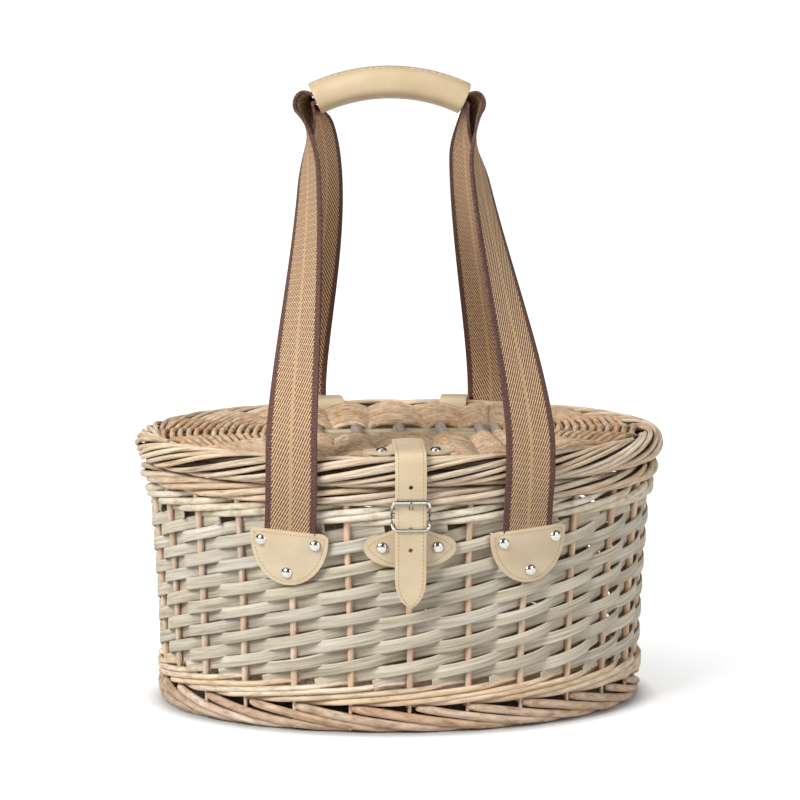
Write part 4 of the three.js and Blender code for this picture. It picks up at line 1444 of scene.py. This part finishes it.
        loop = []
        for i in range(72):
            a = i / 72 * TAU
            rise = signed_power(math.sin(a), 0.3)
            bow = self.loop_y[rise > 0] - self.bar_y
            loop.append(off_bar(self.loop_half * signed_power(math.cos(a), 0.3), bow * smooth(abs(rise), 0, 0.75),
                                self.loop_rise * rise))
        bar = even([off_bar(x * self.bar_half, 0, 0) for x in (-1, 0, 1)], self.bar_radius)
        upper = self.loop_y[1] - self.bar_y
        roller = even([off_bar(x * self.roller_half, upper, self.loop_rise) for x in (-1, 0, 1)],
                      self.roller_radius)
        frame_rods = [even(loop, self.wire_radius, closed=True), bar, roller]
        settle(coat(sweep("buckle_loop", frame_rods, sides=4), Finish.NICKEL), "buckle", "nickel", "buckle_frame")
        eye = [off_bar(0, self.eye_radius * math.cos(a), self.eye_radius * math.sin(a))
               for a in (i / 20 * TAU for i in range(20))]
        lean = math.radians(self.prong_degrees)
        pin = [off_bar(0, -r * math.sin(lean), r * math.cos(lean)) for r in (2.0, 6.0, 10.0, 13.0, 15.2)]
        prong = sweep("buckle_pin", [even(eye, 0.8, closed=True), even(pin, self.wire_radius, 0.85)], sides=4)
        settle(coat(prong, Finish.NICKEL), "prong", "nickel", "buckle_prong")

    def chape(self) -> None:
        """Leather from the winged tab up round the centre bar."""
        reach = self.chape_reach
        turn = [(self.bar_y + reach * math.cos(a), self.bar_z + reach * math.sin(a))
                for a in (i / 6 * math.pi for i in range(7))]
        knots = [(self.bar_y + reach, 141.0), (self.bar_y + reach, 156.0), *turn,
                 (self.bar_y - reach, self.bar_z - 7.2)]
        band = self.band("buckle_loop_leather", knots, self.chape_width, 1.4)
        settle(band.build(Finish.LEATHER, seams=False)[0], "basket", "leather", "buckle_chape")

    def build(self) -> None:
        """Make every piece of the closure."""
        for step in (self.wings, self.strap, self.chape, self.buckle):
            step()


# Carrying straps


@dataclass(frozen=True)
class Drape:
    """How one end of a strap hangs: which side, where it passes the lid, how far it sags in, how it turns."""

    hand: int
    ward: int
    crossing: float
    sag: float
    turn_power: float
    delay: float


@dataclass(frozen=True)
class Loop:
    """How a strap leaves the grip: its climb inside, the radius of its turn and its lead before that."""

    climb: float
    turn: float
    lead: float


@dataclass
class Carrier:
    """Two webbing straps that meet in a leather grip."""

    grip_line: float = 466.6
    grip_length: float = 110.5
    grip_height: float = 24.0
    grip_depth: float = 44.0
    grip_arch: float = 12.2
    grip_seam_y: float = -11.0
    wrap_start: float = 0.6
    wrap_power: float = 2 / 2.6
    wrap_share: Pair = (0.955, 0.92)
    shift: float = -8.0
    hang: float = 60.0
    rise: float = 60.0
    width: float = 38.0
    thickness: float = 2.0
    strap_level: float = 1.7
    flare_degrees: Pair = (25.0, 20.0)
    flare_across: Pair = (56, 63)
    flare_levels: Pair = (398, 442)
    lid_half: float = 200.0
    lid_top: float = 208.0
    lift: float = 2.0
    lean: float = 0.33
    tab_reach: float = 86.0
    crossing_levels: Pair = (150, 206)
    outer_loop: Loop = Loop(climb=2.2, turn=7.4, lead=0.0)
    inner_loop: Loop = Loop(climb=0.0, turn=1.8, lead=1.2)
    front: tuple[Drape, Drape] = (Drape(-1, -1, crossing=85.0, sag=12.0, turn_power=0.7, delay=0.05),
                                  Drape(1, -1, crossing=87.0, sag=4.0, turn_power=0.62, delay=0.05))
    rear: tuple[Drape, Drape] = (Drape(-1, 1, crossing=70.0, sag=27.0, turn_power=0.4, delay=0.09),
                                 Drape(1, 1, crossing=80.0, sag=6.0, turn_power=0.4, delay=0.2))

    def radius(self) -> float:
        """Radius of the grip's arch."""
        return (self.grip_length / 2) ** 2 / (2 * self.grip_arch) + self.grip_arch / 2

    def fall(self) -> float:
        """Angle of the arch at the grip's end."""
        return math.asin(self.grip_length / 2 / self.radius())

    def over_grip(self, hand: int, level: float) -> list[Facing]:
        """Places and facings from the grip's middle round the loop at its end.

        Args:
            hand: 1 for the right half, -1 for the left.
            level: height of the strap over the grip's line.

        Returns:
            Points with outward directions.
        """
        radius, loop = self.radius(), self.outer_loop if level > 0 else self.inner_loop
        spots = []
        for i in range(13):
            a = i / 12 * self.fall()
            run = radius + level + loop.climb * smooth(i / 12, 0.3, 1)
            facing = a * (1 - 0.7 * smooth(i / 12))
            spots.append((run * math.sin(a), self.grip_line - radius + run * math.cos(a), facing))
        x, z, first = spots[-1]
        hub_x = x + loop.lead * math.cos(first) - loop.turn * math.sin(first)
        hub_z = z - loop.lead * math.sin(first) - loop.turn * math.cos(first)
        for i in range(1, 13):
            a = mix(first, math.pi / 2, i / 12)
            spots.append((hub_x + loop.turn * math.sin(a), hub_z + loop.turn * math.cos(a), a))
        return [(Vector((self.shift + hand * x, 0, z)) * MM, Vector((hand * math.sin(a), 0, math.cos(a))))
                for x, z, a in spots]

    def beside(self, drape: Drape, half: float, out: float, z: float) -> Facing:
        """Place and facing off one of the basket's ovals, between the strap's tab and where it passes the lid.

        Args:
            drape: end of the strap.
            half: half width of the oval.
            out: distance off the oval.
            z: height.

        Returns:
            The point and the way the strap faces there.
        """
        reach = mix(self.tab_reach, drape.crossing, smooth(z, *self.crossing_levels))
        a = math.acos((reach - self.lean * out) / half) * drape.ward
        t = a if drape.hand > 0 else math.pi - a
        return OVAL.point(half, t, out, z), OVAL.outward(half, t)

    def half(self, drape: Drape, level: float) -> list[Facing]:
        """Places and facings of one half of a strap, from the grip's middle down behind its tab.

        Args:
            drape: end of the strap.
            level: height of the strap over the grip's line.

        Returns:
            Points with outward directions.
        """
        frames = self.over_grip(drape.hand, level)
        over, facing = self.beside(drape, self.lid_half, self.lift, self.lid_top + self.lift)
        start = frames[-1][0].copy()
        leave = start - Vector((drape.hand * drape.sag, 0, self.hang)) * MM
        arrive = over + Vector((0, 0, self.rise * MM))
        aside = Vector((drape.hand, 0, 0))
        swing = aside.rotation_difference(facing)
        for i in range(1, 45):
            x = i / 44
            at = start * (1 - x) ** 3 + leave * 3 * x * (1 - x) ** 2 + arrive * 3 * x * x * (1 - x) + over * x**3
            down = min(1.0, max(0.0, 1 - (at.z - over.z) / (start.z - over.z)))
            turned = down**drape.turn_power * smooth(down, 0, drape.delay) * swing.angle * swing.axis.z
            frames.append((at, Matrix.Rotation(turned, 3, "Z") @ aside))
        # Down the lid's edge, in to the body's border and behind the tab
        route = ((self.lid_half, self.lift, 196.0), (self.lid_half, self.lift - 0.8, 186.0), (187.5, 11.0, 174.0),
                 (OVAL.wall(160), 8.8, 161.0), (OVAL.wall(155), 7.3, 155.0), (OVAL.wall(150), 6.7, 150.2))
        tail = [over, *(self.beside(drape, *spot)[0] for spot in route)]
        return [*frames, *((at, facing) for at in through(tail, 5)[1:])]

    def webbing(self, name: str, ends: tuple[Drape, Drape], level: float) -> Thing:
        """One strap as a sheet with its own millimetre UV map, its loops flared to the front.

        Args:
            name: name of the object.
            ends: how its left and its right end hang.
            level: height of the strap over the grip's line.

        Returns:
            The mesh object.
        """
        left, right = (self.half(drape, level) for drape in ends)
        frames = [*reversed(left), *right[1:]]
        last = len(frames) - 1
        places, travel = [], [0.0]
        for i, (at, face) in enumerate(frames):
            run = (frames[min(i + 1, last)][0] - frames[max(0, i - 1)][0]).normalized()
            side = run.cross(face).normalized()
            flare = math.radians(self.flare_degrees[at.x > 0]) if level > 0 else 0.0
            flare *= smooth(abs(at.x / MM - self.shift), *self.flare_across) * smooth(at.z / MM, *self.flare_levels)
            places.append((at, side * math.cos(flare) + side.cross(run).normalized() * math.sin(flare)))
            if i:
                travel.append(travel[-1] + (at - frames[i - 1][0]).length / MM)

        def place(f: float, g: float) -> Vector:
            """Point of the tape."""
            at, side = places[min(last, round(g * last))]
            return at + side * (f * self.width / 2 * MM)

        def uv(f: float, g: float) -> Pair:
            """Millimetres across and along."""
            return f * self.width / 2, travel[min(last, round(g * last))]

        return coat(sheet(name, 16, last, place, self.thickness, 0.7, uv, taut=False), Finish.WEBBING)

    def on_arch(self, share: float, y: float, z: float) -> Vector:
        """Point on or round the grip's arch.

        Args:
            share: place along, -1 to 1.
            y: depth.
            z: height over the arch.

        Returns:
            The point.
        """
        turn, run = share * self.fall(), self.radius() + z
        height = self.grip_line - self.radius() + run * math.cos(turn)
        return Vector((self.shift + run * math.sin(turn), y, height)) * MM

    def grip(self) -> None:
        """Leather wrapped round both straps and sewn along its upper edge."""

        def place(f: float, g: float) -> Vector:
            """Point of the wrap: round with f, along with g."""
            a = f * math.pi + self.wrap_start
            y = self.grip_depth / 2 * self.wrap_share[0] * signed_power(math.cos(a), self.wrap_power)
            z = self.grip_height / 2 * self.wrap_share[1] * signed_power(math.sin(a), self.wrap_power)
            return self.on_arch(mix(-1, 1, g), y, z)

        leather = coat(sheet("grip_leather", 56, 40, place, LEATHER_THICKNESS, 0.5), Finish.GRIP)
        seam = [self.on_arch(mix(-0.93, 0.93, i / 60), self.grip_seam_y, self.grip_height / 2 - 0.6)
                for i in range(61)]
        thread = stitches("grip_seam", seam, pitch=5.2, length=3.2, finish=Finish.PALE_THREAD)
        settle(joined("grip", [leather, thread]), "front_strap", "leather", "grip_wrap")

    def build(self) -> None:
        """Make both straps and the grip."""
        front = self.webbing("strap_front", self.front, self.strap_level)
        settle(front, "front_strap", "webbing", "front_webbing")
        rear = self.webbing("strap_rear", self.rear, -self.strap_level)
        settle(rear, "rear_strap", "webbing", "rear_webbing")
        self.grip()


# Studio


@dataclass
class Studio:
    """Pale floor, soft light from the left and the photograph's camera; distances in metres."""

    distance: float = 2.345
    height: float = 0.622
    yaw_degrees: float = 3.3
    aim: tuple[float, float, float] = (0.0, 0.0, 0.2275)
    lit: tuple[float, float, float] = (0.0, 0.0, 0.18)
    focal_px: float = 3155.0
    picture_px: float = 800.0
    sensor: float = 36.0
    ambient: float = 0.22
    floor_size: float = 40.0

    def floor(self) -> None:
        """White floor that keeps the shadow: the camera and mirrors see it lifted towards white, less near the foot,
        which paints shade round it.
        """
        material = bpy.data.materials.new("floor_paper_white")
        material.use_nodes = True
        tree = material.node_tree
        tree.nodes.clear()
        place = put(tree, "TexCoord").outputs["Object"]
        grain = put(tree, "TexNoise", {"Vector": place, "Scale": 60.0, "Detail": 2.0})
        paper = put(tree, "BsdfPrincipled", {"Base Color": ramp(tree, grain, (0.3, "#c8c8c8"), (0.7, "#cecece")),
                                             "Roughness": 0.9, "Specular IOR Level": 0.0})
        oval = put(tree, "VectorMath", {0: place, 1: (1 / 2.2, 1 / 1.45, 0.0)}, operation="MULTIPLY")
        far = put(tree, "VectorMath", {0: oval}, operation="LENGTH").outputs["Value"]
        # The glow is none under the basket and dimmer near the foot, rising to white far off: painted shade round
        # the foot
        lift_with_painted_shade = ramp(tree, far, (0.0815, "#000000"), (0.089, "#c6c6c6"), (0.15, "#d8d8d8"), (1.0, "#fcfcfc"))
        glow = put(tree, "Emission", {"Color": lift_with_painted_shade, "Strength": seen(tree)})
        put(tree, "OutputMaterial", {"Surface": put(tree, "AddShader", {0: paper, 1: glow})})
        bpy.ops.mesh.primitive_plane_add(size=self.floor_size)
        plane = bpy.context.active_object
        plane.name = "floor"
        plane.data.materials.append(material)

    def aimed(self, name: str, data: bpy.types.ID, at: Sequence[float], aim: Sequence[float]) -> Thing:
        """Set up a light or camera that faces a place.

        Args:
            name: name of the object.
            data: light or camera.
            at: where it stands.
            aim: place that it faces.

        Returns:
            The object.
        """
        made = linked(name, data)
        made.location = at
        made.rotation_euler = (Vector(aim) - made.location).to_track_quat("-Z", "Y").to_euler()
        return made

    def lamp(self, name: str, at: tuple[float, float, float], size: float, power: float) -> None:
        """Square soft light that faces the basket.

        Args:
            name: name of the light.
            at: where it stands.
            size: length of a side.
            power: power in watts.
        """
        data = bpy.data.lights.new(name, "AREA")
        data.size = size
        data.energy = power
        self.aimed(name, data, at, self.lit)

    def world(self) -> None:
        """Even light on the object; the camera and mirrors see white walls under a dark ceiling."""
        world = bpy.data.worlds.new("studio")
        world.use_nodes = True
        tree = world.node_tree
        tree.nodes.clear()
        up = put(tree, "SeparateXYZ", {0: put(tree, "TexCoord").outputs["Generated"]}).outputs[2]
        room = ramp(tree, maths(tree, "MULTIPLY_ADD", up, 0.5, 0.5), (0.56, "#ffffff"), (0.60, "#3a3a3a"),
                    (1.0, "#565656"))
        white = put(tree, "Background", {"Color": room, "Strength": 1.0})
        soft = put(tree, "Background", {"Color": linear("#ffffff"), "Strength": self.ambient})
        put(tree, "OutputWorld", {"Surface": put(tree, "MixShader", {0: seen(tree), 1: soft, 2: white})})
        bpy.context.scene.world = world

    def camera(self) -> None:
        """Camera at the photograph's angle."""
        data = bpy.data.cameras.new("photo_camera")
        data.sensor_width = self.sensor
        data.lens = self.focal_px / self.picture_px * self.sensor
        data.clip_end = 80.0
        yaw = math.radians(self.yaw_degrees)
        at = (-self.distance * math.sin(yaw), -self.distance * math.cos(yaw), self.height)
        bpy.context.scene.camera = self.aimed("photo_camera", data, at, self.aim)

    def build(self) -> None:
        """Set the whole stage."""
        self.floor()
        self.world()
        self.lamp("key", (-1.9, -1.7, 1.9), size=1.4, power=84.0)
        self.lamp("fill", (2.0, -1.8, 1.4), size=1.8, power=29.0)
        self.lamp("top", (-0.3, 0.3, 2.6), size=2.0, power=16.0)
        self.camera()
        bpy.context.scene.view_settings.view_transform = "Standard"


def main() -> None:
    """Build the basket's looks and its stage, and note the sizes."""
    logging.basicConfig(level=logging.INFO, format="%(name)s %(message)s")
    for part in (WovenWall(), Borders(), Panels(), WallTabs(), Hinges(), Closure(), Carrier()):
        part.build()
    Studio().build()


if __name__ == "__main__":
    main()
